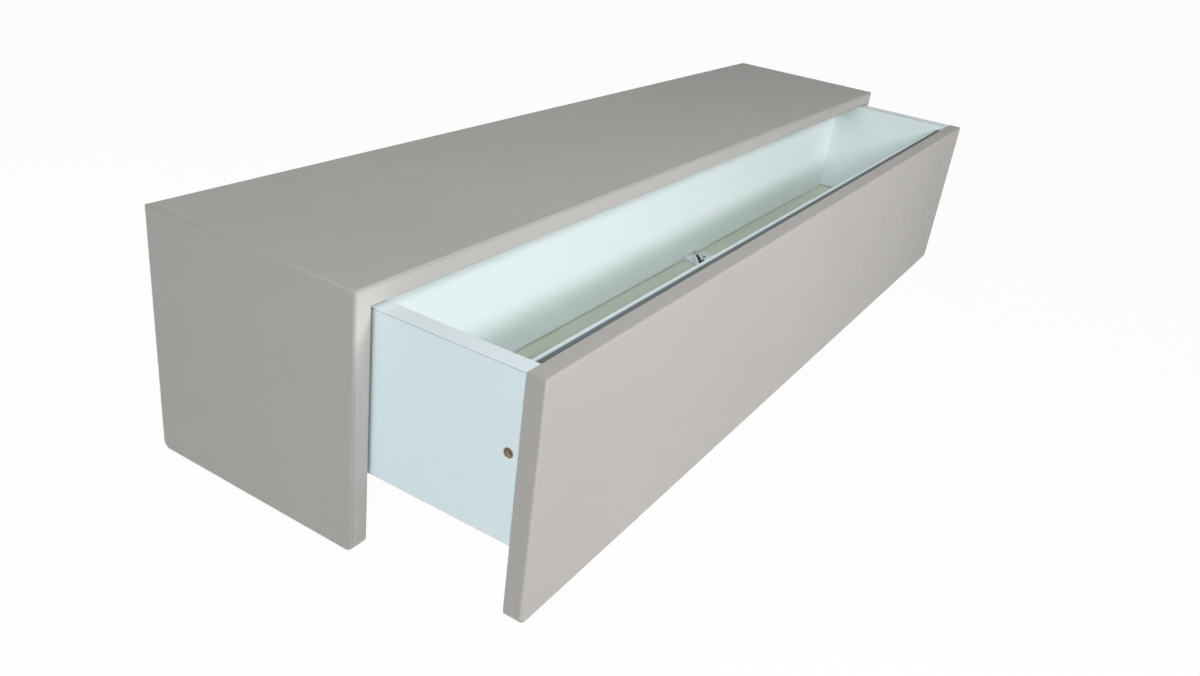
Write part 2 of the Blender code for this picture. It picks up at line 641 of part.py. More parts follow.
LACQUER = make_material("warm grey lacquer", "A9A5A1", 0.45)
MELAMINE = make_material("light grey melamine", "D3DCDF", 0.5)
STEEL = make_material("zinc plated steel", "B4B8BA", 0.35, 1.0)
ZINC = make_material("zinc screw", "A4A7A8", 0.4, 1.0)
BEECH = make_material("beech", "C8A77C", 0.6)
PLYWOOD = make_material("birch plywood", "CFB48C", 0.65)
NYLON = make_material("dark nylon", "4A4D50", 0.55)

drawer_slide = make_empty("drawer_slide", (0, CASE_FRONT - DRAWER_OUT, 0))
top_board = make_top_board()
end_panels = [make_end_panel(name, side) for name, side in SIDES]
back_panel, hanging_rail = make_back(end_panels, top_board)
make_splines(end_panels, top_board)
make_hanging_plates(back_panel, hanging_rail)
make_runners(end_panels, drawer_slide)
drawer_front = make_drawer_front(drawer_slide)
drawer_inner_front, drawer_back, drawer_floor = make_drawer_box(drawer_slide)
make_front_screws(drawer_front, drawer_inner_front, drawer_slide)
make_bracket(drawer_floor, drawer_back, drawer_slide)
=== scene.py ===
"""Dresses the wall-hung sideboard: lacquered case, wide drawer on hidden runners, studio and camera.

Places and sizes are metres in the frame of the solids: X along the width, the wall at y = 0, +Z up.
Every visible board is rebuilt here with finer edges inside the box of its own solid.
"""
import logging
import math
from abc import ABC, abstractmethod
from collections.abc import Callable, Iterable, Sequence
from dataclasses import dataclass, field
from enum import Enum, IntEnum

import bmesh
import bpy
from mathutils import Matrix, Vector


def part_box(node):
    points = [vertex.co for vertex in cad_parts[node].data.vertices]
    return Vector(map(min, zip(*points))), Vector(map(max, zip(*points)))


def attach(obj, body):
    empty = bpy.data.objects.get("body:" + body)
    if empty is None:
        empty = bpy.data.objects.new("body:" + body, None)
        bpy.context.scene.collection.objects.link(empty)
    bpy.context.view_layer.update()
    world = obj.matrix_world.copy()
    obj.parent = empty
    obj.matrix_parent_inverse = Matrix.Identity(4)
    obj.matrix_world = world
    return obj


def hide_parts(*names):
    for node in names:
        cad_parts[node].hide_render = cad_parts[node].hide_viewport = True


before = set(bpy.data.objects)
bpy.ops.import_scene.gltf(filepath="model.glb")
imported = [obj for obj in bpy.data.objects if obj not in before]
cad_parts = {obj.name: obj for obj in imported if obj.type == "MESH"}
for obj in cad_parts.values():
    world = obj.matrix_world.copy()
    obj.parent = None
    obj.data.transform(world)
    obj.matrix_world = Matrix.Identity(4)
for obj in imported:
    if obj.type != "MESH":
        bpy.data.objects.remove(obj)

LOG = logging.getLogger("sideboard")
WHITE = "FFFFFF"
MM = 0.001
# Points that lie nearer to each other than this are one point.
MERGE = 1e-6
# How far a cutter reaches past the board that it cuts.
OVERCUT = 4 * MM
# Faces that meet at a smaller angle are one rounded surface.
SMOOTH_ANGLE = math.radians(32)
# The share of a face's normal that has to point along an axis for the face to look that way.
SQUARE = 0.9
# Nearly all values of a noise lie between these.
NOISE_RANGE = {"From Min": 0.3, "From Max": 0.7}
# The places of a Mix node's two colours and of their blend, whose names its other kinds share.
MIX_FIRST, MIX_SECOND, MIX_RESULT = 6, 7, 2


class Body(Enum):
    """The bodies that pieces ride on."""

    CASE = "case"
    DRAWER = "drawer"
    LEFT_RUNNER = "left_runner"
    RIGHT_RUNNER = "right_runner"


class Slot(Enum):
    """The record's material slots that the pieces take."""

    LACQUER = "lacquer"
    MELAMINE = "melamine"
    RUNNER_STEEL = "runner_steel"
    SCREW_STEEL = "screw_steel"
    CLIP_NYLON = "clip_nylon"


class Side(IntEnum):
    """The two ends of the sideboard, as the sign of X."""

    LEFT = -1
    RIGHT = 1

    @property
    def word(self) -> str:
        """Return the side's name as it stands in the nodes' names."""
        return self.name.lower()


class Axis(IntEnum):
    """The axes of the frame, as indices into a vector."""

    X = 0
    Y = 1
    Z = 2


class Layer(IntEnum):
    """The places of a board's finishes in its list of materials."""

    FACE = 0
    EDGE = 1
    CORE = 2
    GLUE = 3
    INNER = 4
    TAPE = 5


class Operation(Enum):
    """What becomes of a piece and a guide that overlap."""

    CUT = "DIFFERENCE"
    JOIN = "UNION"


class Member(Enum):
    """The two channels of a runner, as their solids' names end."""

    INTERMEDIATE = "intermediate_rail"
    DRAWER = "drawer_rail"


class Steps(IntEnum):
    """How many faces go across a rounding or round a circle."""

    HAIRLINE = 2
    FINE = 3
    LIP = 5
    ARRIS = 6
    CORNER = 12
    PIN = 20
    SCREW = 24
    HOLE = 32
    WIDE_HOLE = 48


def linear(hex_code: str) -> tuple[float, float, float, float]:
    """Turn an sRGB colour in hexadecimal into linear light, by the standard's own curve.

    Args:
        hex_code: six hexadecimal digits.

    Returns:
        Linear red, green and blue, with an alpha of 1.
    """
    parts = [int(hex_code[i:i + 2], 16) / 255 for i in (0, 2, 4)]
    red, green, blue = [p / 12.92 if p <= 0.04045 else ((p + 0.055) / 1.055) ** 2.4 for p in parts]
    return red, green, blue, 1.0


def fill(tree: bpy.types.NodeTree, node: bpy.types.Node, sockets: dict[str | int, object]) -> None:
    """Give a node's inputs their values and links.

    Args:
        tree: the node's tree.
        node: the node.
        sockets: a value, or an output to link, for each named or numbered input.
    """
    for name, value in sockets.items():
        if isinstance(value, bpy.types.NodeSocket):
            tree.links.new(value, node.inputs[name])
        else:
            node.inputs[name].default_value = value


def add_node(tree: bpy.types.NodeTree, kind: str, settings: dict[str, object] | None = None,
             sockets: dict[str | int, object] | None = None) -> bpy.types.Node:
    """Add a node to a shader or geometry tree.

    Args:
        tree: the tree that gets the node.
        kind: the node's type.
        settings: properties of the node.
        sockets: a value, or an output to link, for each named or numbered input.

    Returns:
        The new node.
    """
    node = tree.nodes.new(kind)
    for name, value in (settings or {}).items():
        setattr(node, name, value)
    fill(tree, node, sockets or {})
    return node


def add_object(name: str, data: bpy.types.ID) -> bpy.types.Object:
    """Add an object at the origin.

    Args:
        name: the object's name.
        data: its mesh, lamp or camera.

    Returns:
        The object.
    """
    thing = bpy.data.objects.new(name, data)
    bpy.context.scene.collection.objects.link(thing)
    return thing


def bearing(azimuth: float, elevation: float) -> Vector:
    """Turn two angles into a direction.

    Args:
        azimuth: degrees from straight in front of the sideboard towards +X.
        elevation: degrees above the level.

    Returns:
        The direction, away from the sideboard and of length 1.
    """
    turn, lift = math.radians(azimuth), math.radians(elevation)
    return Vector((math.sin(turn) * math.cos(lift), -math.cos(turn) * math.cos(lift), math.sin(lift)))


@dataclass(frozen=True)
class Finish(ABC):
    """A surface finish: one procedural material.

    Attributes:
        name: the finish's common name, which names the material.
        colour: sRGB hexadecimal.
        roughness: the middle roughness.
    """

    name: str
    colour: str
    roughness: float

    def material(self) -> bpy.types.Material:
        """Make the finish's material at its first use.

        Returns:
            The material, which every piece with this finish shares.
        """
        found = bpy.data.materials.get(self.name)
        if found:
            return found
        material = bpy.data.materials.new(self.name)
        material.use_nodes = True
        material.diffuse_color = linear(self.colour)
        tree = material.node_tree
        shader = tree.nodes["Principled BSDF"]
        fill(tree, shader, {"Base Color": linear(self.colour), "Roughness": self.roughness})
        where = add_node(tree, "ShaderNodeTexCoord").outputs["Object"]
        fill(tree, shader, self.pattern(tree, where))
        return material

    @abstractmethod
    def pattern(self, tree: bpy.types.NodeTree, where: bpy.types.NodeSocket) -> dict[str | int, object]:
        """Add the finish's own nodes.

        Args:
            tree: the material's nodes.
            where: the object coordinates, in metres.

        Returns:
            What goes into the shader's inputs.
        """


@dataclass(frozen=True)
class SatinLacquer(Finish):
    """Sprayed two-pack lacquer on fine board: even, satin, with the faint orange peel of a spray gun.

    Attributes:
        shade: the colour of its faintly darker clouds.
        peel: the size of the orange peel's lumps in metres.
        gloss: the share of the mirror reflection, low because matting powder breaks it up.
        cloud: the size of the clouds in metres.
        patch: the size of the patches of uneven sheen in metres.
        uneven: how far the roughness goes up and down in them.
        peel_depth: the depth of the orange peel in metres.
        peel_share: how much of that relief shows.
    """

    shade: str = "ABA7A3"
    peel: float = 1.6 * MM
    gloss: float = 0.18
    cloud: float = 300 * MM
    patch: float = 24 * MM
    uneven: float = 0.035
    peel_depth: float = 0.04 * MM
    peel_share: float = 0.3

    def pattern(self, tree: bpy.types.NodeTree, where: bpy.types.NodeSocket) -> dict[str | int, object]:
        """Add clouds, a slightly uneven sheen and the orange peel.

        Args:
            tree: the material's nodes.
            where: the object coordinates, in metres.

        Returns:
            What goes into the shader's inputs.
        """
        clouds = add_node(tree, "ShaderNodeTexNoise", sockets={
            "Vector": where, "Scale": 1 / self.cloud, "Detail": 3.0})
        share = add_node(tree, "ShaderNodeMapRange", sockets={"Value": clouds.outputs["Fac"], **NOISE_RANGE})
        colour = add_node(tree, "ShaderNodeMix", {"data_type": "RGBA"}, {
            "Factor": share.outputs["Result"],
            MIX_FIRST: linear(self.colour), MIX_SECOND: linear(self.shade)})
        patches = add_node(tree, "ShaderNodeTexNoise", sockets={
            "Vector": where, "Scale": 1 / self.patch, "Detail": 3.0})
        sheen = add_node(tree, "ShaderNodeMapRange", sockets={
            "Value": patches.outputs["Fac"], **NOISE_RANGE,
            "To Min": self.roughness - self.uneven, "To Max": self.roughness + self.uneven})
        peel = add_node(tree, "ShaderNodeTexNoise", sockets={
            "Vector": where, "Scale": 1 / self.peel, "Detail": 1.0})
        relief = add_node(tree, "ShaderNodeBump", sockets={
            "Height": peel.outputs["Fac"], "Distance": self.peel_depth, "Strength": self.peel_share})
        return {"Base Color": colour.outputs[MIX_RESULT], "Roughness": sheen.outputs["Result"],
                "Normal": relief.outputs["Normal"], "Specular IOR Level": self.gloss}


@dataclass(frozen=True)
class Melamine(Finish):
    """Melamine-faced board: printed paper in resin, pressed with a fine pearl texture.

    Attributes:
        fleck: the colour of the print's faint flecks.
        pearl: the size of the pressed pearls in metres, drawn coarser than the real 0.3 mm.
        fleck_size: the size of the flecks in metres.
        patch: the size of the patches of uneven sheen in metres.
        uneven: how far the roughness goes up and down in them.
        pearl_depth: the depth of the pearls in metres.
        pearl_share: how much of that relief shows.
    """

    fleck: str = "CDD7DA"
    pearl: float = 0.9 * MM
    fleck_size: float = 2.5 * MM
    patch: float = 12 * MM
    uneven: float = 0.04
    pearl_depth: float = 0.02 * MM
    pearl_share: float = 0.3

    def pattern(self, tree: bpy.types.NodeTree, where: bpy.types.NodeSocket) -> dict[str | int, object]:
        """Add the flecks, the sheen and the pearl texture.

        Args:
            tree: the material's nodes.
            where: the object coordinates, in metres.

        Returns:
            What goes into the shader's inputs.
        """
        flecks = add_node(tree, "ShaderNodeTexNoise", sockets={
            "Vector": where, "Scale": 1 / self.fleck_size, "Detail": 4.0, "Roughness": 0.7})
        share = add_node(tree, "ShaderNodeMapRange", sockets={"Value": flecks.outputs["Fac"], **NOISE_RANGE})
        colour = add_node(tree, "ShaderNodeMix", {"data_type": "RGBA"}, {
            "Factor": share.outputs["Result"],
            MIX_FIRST: linear(self.colour), MIX_SECOND: linear(self.fleck)})
        patches = add_node(tree, "ShaderNodeTexNoise", sockets={"Vector": where, "Scale": 1 / self.patch})
        sheen = add_node(tree, "ShaderNodeMapRange", sockets={
            "Value": patches.outputs["Fac"], **NOISE_RANGE,
            "To Min": self.roughness - self.uneven, "To Max": self.roughness + self.uneven})
        pearls = add_node(tree, "ShaderNodeTexVoronoi", {"feature": "SMOOTH_F1"}, {
            "Vector": where, "Scale": 1 / self.pearl, "Smoothness": 0.6})
        relief = add_node(tree, "ShaderNodeBump", sockets={
            "Height": pearls.outputs["Distance"], "Distance": self.pearl_depth, "Strength": self.pearl_share})
        return {"Base Color": colour.outputs[MIX_RESULT], "Roughness": sheen.outputs["Result"],
                "Normal": relief.outputs["Normal"]}


@dataclass(frozen=True)
class Chipboard(Finish):
    """Bare chipboard where a cutter went through the facing: pressed flakes of several browns.

    Attributes:
        dark: the colour of the gaps between flakes.
        flake: a flake's length in metres.
        flake_depth: the depth of the gaps in metres.
        flake_share: how much of that relief shows.
    """

    dark: str = "5B5244"
    flake: float = 2.2 * MM
    flake_depth: float = 0.3 * MM
    flake_share: float = 0.8

    def pattern(self, tree: bpy.types.NodeTree, where: bpy.types.NodeSocket) -> dict[str | int, object]:
        """Add the flakes and their relief.

        Args:
            tree: the material's nodes.
            where: the object coordinates, in metres.

        Returns:
            What goes into the shader's inputs.
        """
        flakes = add_node(tree, "ShaderNodeTexVoronoi", sockets={"Vector": where, "Scale": 1 / self.flake})
        shade = add_node(tree, "ShaderNodeSeparateColor", sockets={"Color": flakes.outputs["Color"]})
        colour = add_node(tree, "ShaderNodeMix", {"data_type": "RGBA"}, {
            "Factor": shade.outputs["Red"],
            MIX_FIRST: linear(self.colour), MIX_SECOND: linear(self.dark)})
        relief = add_node(tree, "ShaderNodeBump", sockets={
            "Height": flakes.outputs["Distance"], "Distance": self.flake_depth, "Strength": self.flake_share})
        return {"Base Color": colour.outputs[MIX_RESULT], "Normal": relief.outputs["Normal"]}


@dataclass(frozen=True)
class RolledZinc(Finish):
    """Rolled sheet steel with a bright zinc coat: long faint rolling lines and a soft spangle.

    Attributes:
        grain: the width of a rolling line in metres.
        dull: the roughness of the duller patches.
        stretch: a rolling line's width as a share of its length.
        spangle: the size of the patches in metres.
        line_depth: the depth of the rolling lines in metres.
        line_share: how much of that relief shows.
    """

    grain: float = 0.35 * MM
    dull: float = 0.48
    stretch: float = 0.02
    spangle: float = 5 * MM
    line_depth: float = 0.02 * MM
    line_share: float = 0.5

    def pattern(self, tree: bpy.types.NodeTree, where: bpy.types.NodeSocket) -> dict[str | int, object]:
        """Add the spangle and the rolling lines, which run along Y.

        Args:
            tree: the material's nodes.
            where: the object coordinates, in metres.

        Returns:
            What goes into the shader's inputs.
        """
        stretched = add_node(tree, "ShaderNodeMapping", sockets={
            "Vector": where, "Scale": (1, self.stretch, 1)})
        lines = add_node(tree, "ShaderNodeTexNoise", sockets={
            "Vector": stretched.outputs["Vector"], "Scale": 1 / self.grain})
        patches = add_node(tree, "ShaderNodeTexNoise", sockets={"Vector": where, "Scale": 1 / self.spangle})
        sheen = add_node(tree, "ShaderNodeMapRange", sockets={
            "Value": patches.outputs["Fac"], **NOISE_RANGE, "To Min": self.roughness, "To Max": self.dull})
        relief = add_node(tree, "ShaderNodeBump", sockets={
            "Height": lines.outputs["Fac"], "Distance": self.line_depth, "Strength": self.line_share})
        return {"Metallic": 1.0, "Roughness": sheen.outputs["Result"], "Normal": relief.outputs["Normal"]}


@dataclass(frozen=True)
class Nylon(Finish):
    """Injection-moulded nylon: matt, with the fine spark-eroded grain of its tool.

    Attributes:
        grain: the size of the grain in metres.
        grain_depth: its depth in metres.
        grain_share: how much of that relief shows.
    """

    grain: float = 0.5 * MM
    grain_depth: float = 0.05 * MM
    grain_share: float = 0.6

    def pattern(self, tree: bpy.types.NodeTree, where: bpy.types.NodeSocket) -> dict[str | int, object]:
        """Add the moulded grain.

        Args:
            tree: the material's nodes.
            where: the object coordinates, in metres.

        Returns:
            What goes into the shader's inputs.
        """
        grain = add_node(tree, "ShaderNodeTexNoise", sockets={"Vector": where, "Scale": 1 / self.grain})
        relief = add_node(tree, "ShaderNodeBump", sockets={
            "Height": grain.outputs["Fac"], "Distance": self.grain_depth, "Strength": self.grain_share})
        return {"Normal": relief.outputs["Normal"]}


@dataclass(frozen=True)
class TurnedWood(Finish):
    """Machined wood, beech or birch: straight grain with short dark pores.

    Attributes:
        late: the colour of the darker growth.
        ring: the width of a growth ring in metres.
        stretch: a pore's width as a share of its length.
        pore_depth: the depth of the pores in metres.
        pore_share: how much of that relief shows.
    """

    late: str = "A98759"
    ring: float = 1.4 * MM
    stretch: float = 0.06
    pore_depth: float = 0.05 * MM
    pore_share: float = 0.5

    def pattern(self, tree: bpy.types.NodeTree, where: bpy.types.NodeSocket) -> dict[str | int, object]:
        """Add the grain, which runs along X.

        Args:
            tree: the material's nodes.
            where: the object coordinates, in metres.

        Returns:
            What goes into the shader's inputs.
        """
        along = add_node(tree, "ShaderNodeMapping", sockets={
            "Vector": where, "Scale": (self.stretch, 1, 1)})
        grain = add_node(tree, "ShaderNodeTexNoise", sockets={
            "Vector": along.outputs["Vector"], "Scale": 1 / self.ring, "Detail": 4.0})
        share = add_node(tree, "ShaderNodeMapRange", sockets={"Value": grain.outputs["Fac"], **NOISE_RANGE})
        colour = add_node(tree, "ShaderNodeMix", {"data_type": "RGBA"}, {
            "Factor": share.outputs["Result"],
            MIX_FIRST: linear(self.colour), MIX_SECOND: linear(self.late)})
        relief = add_node(tree, "ShaderNodeBump", sockets={
            "Height": grain.outputs["Fac"], "Distance": self.pore_depth, "Strength": self.pore_share})
        return {"Base Color": colour.outputs[MIX_RESULT], "Normal": relief.outputs["Normal"]}


# A calm warm grey with a broad soft sheen and no clear reflections.
LACQUER = SatinLacquer("satin two-pack lacquer, warm grey", "B0ADA9", 0.5, "ADAAA6")
# The same coat, a shade paler: painted light on the case's front edges, for the brighter light that they
# catch.
PAINTED_LIGHT_EDGE_LACQUER = SatinLacquer("satin two-pack lacquer on edges, warm grey", "C5C2BF", 0.48, "C1BEBA")
# A cool pale grey whose pearl texture breaks up the light.
MELAMINE = Melamine("pearl melamine, pale grey", "DFEEF2", 0.45, "D9E9ED")
# The same melamine, nearly white on the drawer's inner faces: painted light, so that the inside of the drawer
# looks bright.
PAINTED_LIGHT_MELAMINE = Melamine("pearl melamine, white", "EDF7F8", 0.45, "E8F3F4")
# Smoother than the board, so that a board's top reads as one pale strip.
EDGE_BAND = Melamine("ABS edge band, pale grey", "DFECEF", 0.42, "DBE8EB", 1.4 * MM)
# A dull cream with a hint of green, which sets the floor off from the walls.
HARDBOARD = Melamine("foil-faced hardboard, pale", "E9EFE0", 0.5, "E4EADB")
# Warm brown flakes, seen only where a cutter went in.
CHIPBOARD = Chipboard("bare chipboard", "D2C3A6", 0.85, "A08C6C")
# A grey gleam, softened by the rolling lines.
ZINC = RolledZinc("zinc plated sheet steel", "C9CDCF", 0.34)
# Sharper than the sheet, so that a head shows as a small glint.
SCREW_ZINC = RolledZinc("zinc plated screw", "BCC0C2", 0.28, 0.2 * MM, 0.42)
# The palest metal, a tumbled casting that mirrors the white walls dimly.
CAST_ZINC = RolledZinc("bright zinc casting", "F0F3F4", 0.36, 0.6 * MM, 0.46)
# Nearly black and matt: painted shade on the pocket between the bracket's bars, and the dark ring round its
# floor screw.
PAINTED_SHADE_AND_RING = Nylon("black rubber pad", "2A2C2E", 0.6)
# A dull slate strip: painted shadow, the dark line that the front's top edge casts on the inner front.
TAPE = Nylon("foam sealing tape, slate grey", "7F8C8F", 0.85)
# A hairline a little darker than the board beside it.
GLUE = Nylon("glue line, grey", "77797A", 0.7)
# A dark plastic with a fine moulded grain.
NYLON = Nylon("moulded nylon, dark grey", "4B4E51", 0.5)
# Pinkish straw with a straight grain.
BEECH = TurnedWood("beech dowel", "C9A678", 0.55)


@dataclass(frozen=True)
class Span:
    """The box of a solid at rest.

    Attributes:
        low: the lowest corner.
        high: the highest corner.
    """

    low: Vector
    high: Vector

    @classmethod
    def of(cls, node: str) -> "Span":
        """Return the box of a node of the frame."""
        return cls(*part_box(node))

    @property
    def middle(self) -> Vector:
        """Return the middle of the box."""
        return (self.low + self.high) / 2

    @property
    def size(self) -> Vector:
        """Return the box's three lengths."""
        return self.high - self.low


class Solid:
    """A closed shape under construction, in the frame's own coordinates."""

    def __init__(self) -> None:
        """Start with nothing."""
        self.bm = bmesh.new()

    def box(self, low: Sequence[float], high: Sequence[float]) -> "Solid":
        """Add a box.

        Args:
            low: its lowest corner.
            high: its highest corner.

        Returns:
            This shape.
        """
        first, second = Vector(low), Vector(high)
        place = Matrix.Translation((first + second) / 2) @ Matrix.Diagonal((*(second - first), 1.0))
        bmesh.ops.create_cube(self.bm, size=1.0, matrix=place)
        return self

    def rod(self, start: Vector, direction: Vector, length: float, radius: float,
            sides: Steps = Steps.HOLE) -> "Solid":
        """Add a round rod.

        Args:
            start: the middle of its first end.
            direction: the way that it runs.
            length: its length.
            radius: its radius.
            sides: the number of faces around it.

        Returns:
            This shape.
        """
        turn = direction.to_track_quat("Z", "Y").to_matrix().to_4x4()
        place = Matrix.Translation(start) @ turn @ Matrix.Translation((0, 0, length / 2))
        bmesh.ops.create_cone(self.bm, cap_ends=True, segments=sides, radius1=radius, radius2=radius,
                              depth=length, matrix=place)
        return self

    def prism(self, outline: Sequence[tuple[float, float]], axis: Axis, low: float, high: float) -> "Solid":
        """Extrude an outline along an axis.

        Args:
            outline: pairs of the two other coordinates, in their order.
            axis: the axis to extrude along.
            low: where the prism starts.
            high: where it ends.

        Returns:
            This shape.
        """
        points = [[*pair[:axis], low, *pair[axis:]] for pair in outline]
        face = self.bm.faces.new([self.bm.verts.new(point) for point in points])
        grown = bmesh.ops.extrude_face_region(self.bm, geom=[face])["geom"]
        verts = [g for g in grown if isinstance(g, bmesh.types.BMVert)]
        run = Vector((0, 0, 0))
        run[axis] = high - low
        bmesh.ops.translate(self.bm, verts=verts, vec=run)
        return self

    def ease(self, width: float, steps: Steps,
             test: Callable[[bmesh.types.BMVert, bmesh.types.BMVert], bool]) -> "Solid":
        """Round sharp edges.

        Args:
            width: the radius.
            steps: the number of faces across the rounding.
            test: what the two ends of an edge have to pass.

        Returns:
            This shape.
        """
        edges = [e for e in self.bm.edges if test(*e.verts) and e.calc_face_angle(0) > SMOOTH_ANGLE]
        bmesh.ops.bevel(self.bm, geom=edges, offset=width, offset_type="OFFSET", segments=steps,
                        profile=0.5, affect="EDGES", clamp_overlap=True)
        return self

    def ease_along(self, axis: Axis, width: float, steps: Steps) -> "Solid":
        """Round the sharp edges that run along an axis."""
        others = [other for other in Axis if other is not axis]
        return self.ease(width, steps, lambda a, b: all(abs(a.co[o] - b.co[o]) < MERGE for o in others))

    def ease_plane(self, axis: Axis, level: float, width: float, steps: Steps) -> "Solid":
        """Round the sharp edges that lie on a plane square to an axis."""
        return self.ease(width, steps, on_plane(axis, level))

    def ease_all(self, width: float, steps: Steps) -> "Solid":
        """Round every sharp edge."""
        return self.ease(width, steps, lambda a, b: True)

    def mitre(self, corner: Vector, normal: Vector, keep_beyond: bool) -> "Solid":
        """Cut the shape by a plane and close it.

        Args:
            corner: a point on the plane.
            normal: the plane's normal.
            keep_beyond: whether the part on the normal's side stays.

        Returns:
            This shape.
        """
        geometry = [*self.bm.verts, *self.bm.edges, *self.bm.faces]
        cut = bmesh.ops.bisect_plane(self.bm, geom=geometry, plane_co=corner, plane_no=normal,
                                     clear_inner=keep_beyond, clear_outer=not keep_beyond)
        loop = [g for g in cut["geom_cut"] if isinstance(g, bmesh.types.BMEdge)]
        bmesh.ops.holes_fill(self.bm, edges=loop)
        return self

    def paint(self, layer: Layer, test: Callable[[bmesh.types.BMFace], bool] = lambda face: True) -> "Solid":
        """Give faces one of the finishes.

        Args:
            layer: the finish's place in the piece's list.
            test: what a face has to pass.

        Returns:
            This shape.
        """
        self.bm.normal_update()
        for face in self.bm.faces:
            if test(face):
                face.material_index = layer
        return self

    def piece(self, name: str, finishes: Sequence[Finish]) -> bpy.types.Object:
        """Turn the shape into an object at the origin.

        Args:
            name: the object's name.
            finishes: the finishes, in the order of the layers.

        Returns:
            The object.
        """
        bmesh.ops.recalc_face_normals(self.bm, faces=self.bm.faces)
        mesh = bpy.data.meshes.new(name)
        self.bm.to_mesh(mesh)
        self.bm.free()
        for finish in finishes:
            mesh.materials.append(finish.material())
        return add_object(name, mesh)


def on_plane(axis: Axis, level: float) -> Callable[[bmesh.types.BMVert, bmesh.types.BMVert], bool]:
    """Return a test that both ends of an edge lie on a plane square to an axis."""
    return lambda a, b: abs(a.co[axis] - level) < MERGE and abs(b.co[axis] - level) < MERGE


def looking(axis: Axis, sign: int) -> Callable[[bmesh.types.BMFace], bool]:
    """Return a test that a face looks along an axis, towards its plus or its minus."""
    return lambda face: face.normal[axis] * sign > SQUARE


def rim(axis: Axis) -> Callable[[bmesh.types.BMFace], bool]:
    """Return a test that a face is on the rim of a board whose two broad faces look along an axis."""
    return lambda face: abs(face.normal[axis]) <= SQUARE


def settle(piece: bpy.types.Object) -> None:
    """Turn a piece's modifiers into its mesh.

    Args:
        piece: the piece.
    """
    graph = bpy.context.evaluated_depsgraph_get()
    mesh = bpy.data.meshes.new_from_object(piece.evaluated_get(graph))
    piece.modifiers.clear()
    old = piece.data
    piece.data = mesh
    bpy.data.meshes.remove(old)


def carve(piece: bpy.types.Object, guides: Iterable[bpy.types.Object],
          operation: Operation = Operation.CUT) -> None:
    """Cut guides out of a piece, or join them to it, and take the guides away.

    Args:
        piece: the piece to change.
        guides: objects whose materials stand in the piece's own order.
        operation: whether they are cut out or joined.
    """
    guides = list(guides)
    for guide in guides:
        modifier = piece.modifiers.new(guide.name, "BOOLEAN")
        modifier.operation = operation.value
        modifier.solver = "EXACT"
        modifier.object = guide
    settle(piece)
    for guide in guides:
        bpy.data.objects.remove(guide, do_unlink=True)


def finish_mesh(piece: bpy.types.Object) -> None:
    """Merge doubles, shade a piece smooth across its rounded edges and keep its flat faces flat.

    Args:
        piece: the piece.
    """
    bm = bmesh.new()
    bm.from_mesh(piece.data)
    bmesh.ops.remove_doubles(bm, verts=bm.verts, dist=MERGE)
    bmesh.ops.dissolve_degenerate(bm, edges=bm.edges, dist=MERGE)
    bm.to_mesh(piece.data)
    bm.free()
    piece.data.shade_smooth()
    piece.data.set_sharp_from_angle(angle=SMOOTH_ANGLE)
    modifier = piece.modifiers.new("flat faces", "WEIGHTED_NORMAL")
    modifier.mode = "FACE_AREA"
    modifier.keep_sharp = True
    settle(piece)


def hand_over(piece: bpy.types.Object, body: Body, nodes: Sequence[str] = ()) -> None:
    """Finish a piece and give it to its body.

    Args:
        piece: the finished piece.
        body: the body that it rides on.
        nodes: the solids that it stands for.
    """
    finish_mesh(piece)
    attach(piece, body.value)
    if nodes:
        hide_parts(*nodes)
    LOG.info("%s on %s: %d faces", piece.name, body.value, len(piece.data.polygons))


def dress_solids(names: Iterable[str], finish: Finish) -> None:
    """Give solids that stay in view a finish.

    Args:
        names: the solids.
        finish: their finish.
    """
    for name in names:
        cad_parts[name].data.materials[0] = finish.material()
        LOG.info("%s: %s", name, finish.name)


class Generator:
    """A Geometry Nodes tree with named inputs that repeats a shape."""

    def __init__(self, name: str, sizes: Iterable[str], vectors: Iterable[str] = ()) -> None:
        """Start the tree.

        Args:
            name: the tree's name.
            sizes: names of the inputs in metres.
            vectors: names of the inputs that are directions.
        """
        self.tree = bpy.data.node_groups.new(name, "GeometryNodeTree")
        kinds = {"Geometry": "NodeSocketGeometry", **{size: "NodeSocketFloat" for size in sizes},
                 **{vector: "NodeSocketVector" for vector in vectors}, "Material": "NodeSocketMaterial"}
        for label, kind in kinds.items():
            self.tree.interface.new_socket(label, in_out="INPUT", socket_type=kind)
        self.tree.interface.new_socket("Geometry", in_out="OUTPUT", socket_type="NodeSocketGeometry")
        self.given = self.node("NodeGroupInput").outputs

    def node(self, kind: str, settings: dict[str, object] | None = None,
             sockets: dict[str | int, object] | None = None) -> bpy.types.Node:
        """Add a node to the tree."""
        return add_node(self.tree, kind, settings, sockets)

    def close(self, geometry: bpy.types.NodeSocket) -> None:
        """Realize the instances, set their material and end the tree.

        Args:
            geometry: the instances.
        """
        real = self.node("GeometryNodeRealizeInstances", sockets={"Geometry": geometry})
        dressed = self.node("GeometryNodeSetMaterial", sockets={
            "Geometry": real.outputs["Geometry"], "Material": self.given["Material"]})
        self.node("NodeGroupOutput", sockets={"Geometry": dressed.outputs["Geometry"]})

    def run(self, piece: bpy.types.Object, finish: Finish, values: dict[str, object]) -> bpy.types.Object:
        """Turn a guide of points or edges into the repeated shape.

        Args:
            piece: the guide, which becomes the result.
            finish: the result's finish.
            values: a value for each named input.

        Returns:
            The piece.
        """
        modifier = piece.modifiers.new(self.tree.name, "NODES")
        modifier.node_group = self.tree
        items = [item for item in self.tree.interface.items_tree if item.in_out == "INPUT"]
        keys = {item.name: item.identifier for item in items}
        for label, value in {**values, "Material": finish.material()}.items():
            modifier[keys[label]] = value
        settle(piece)
        return piece


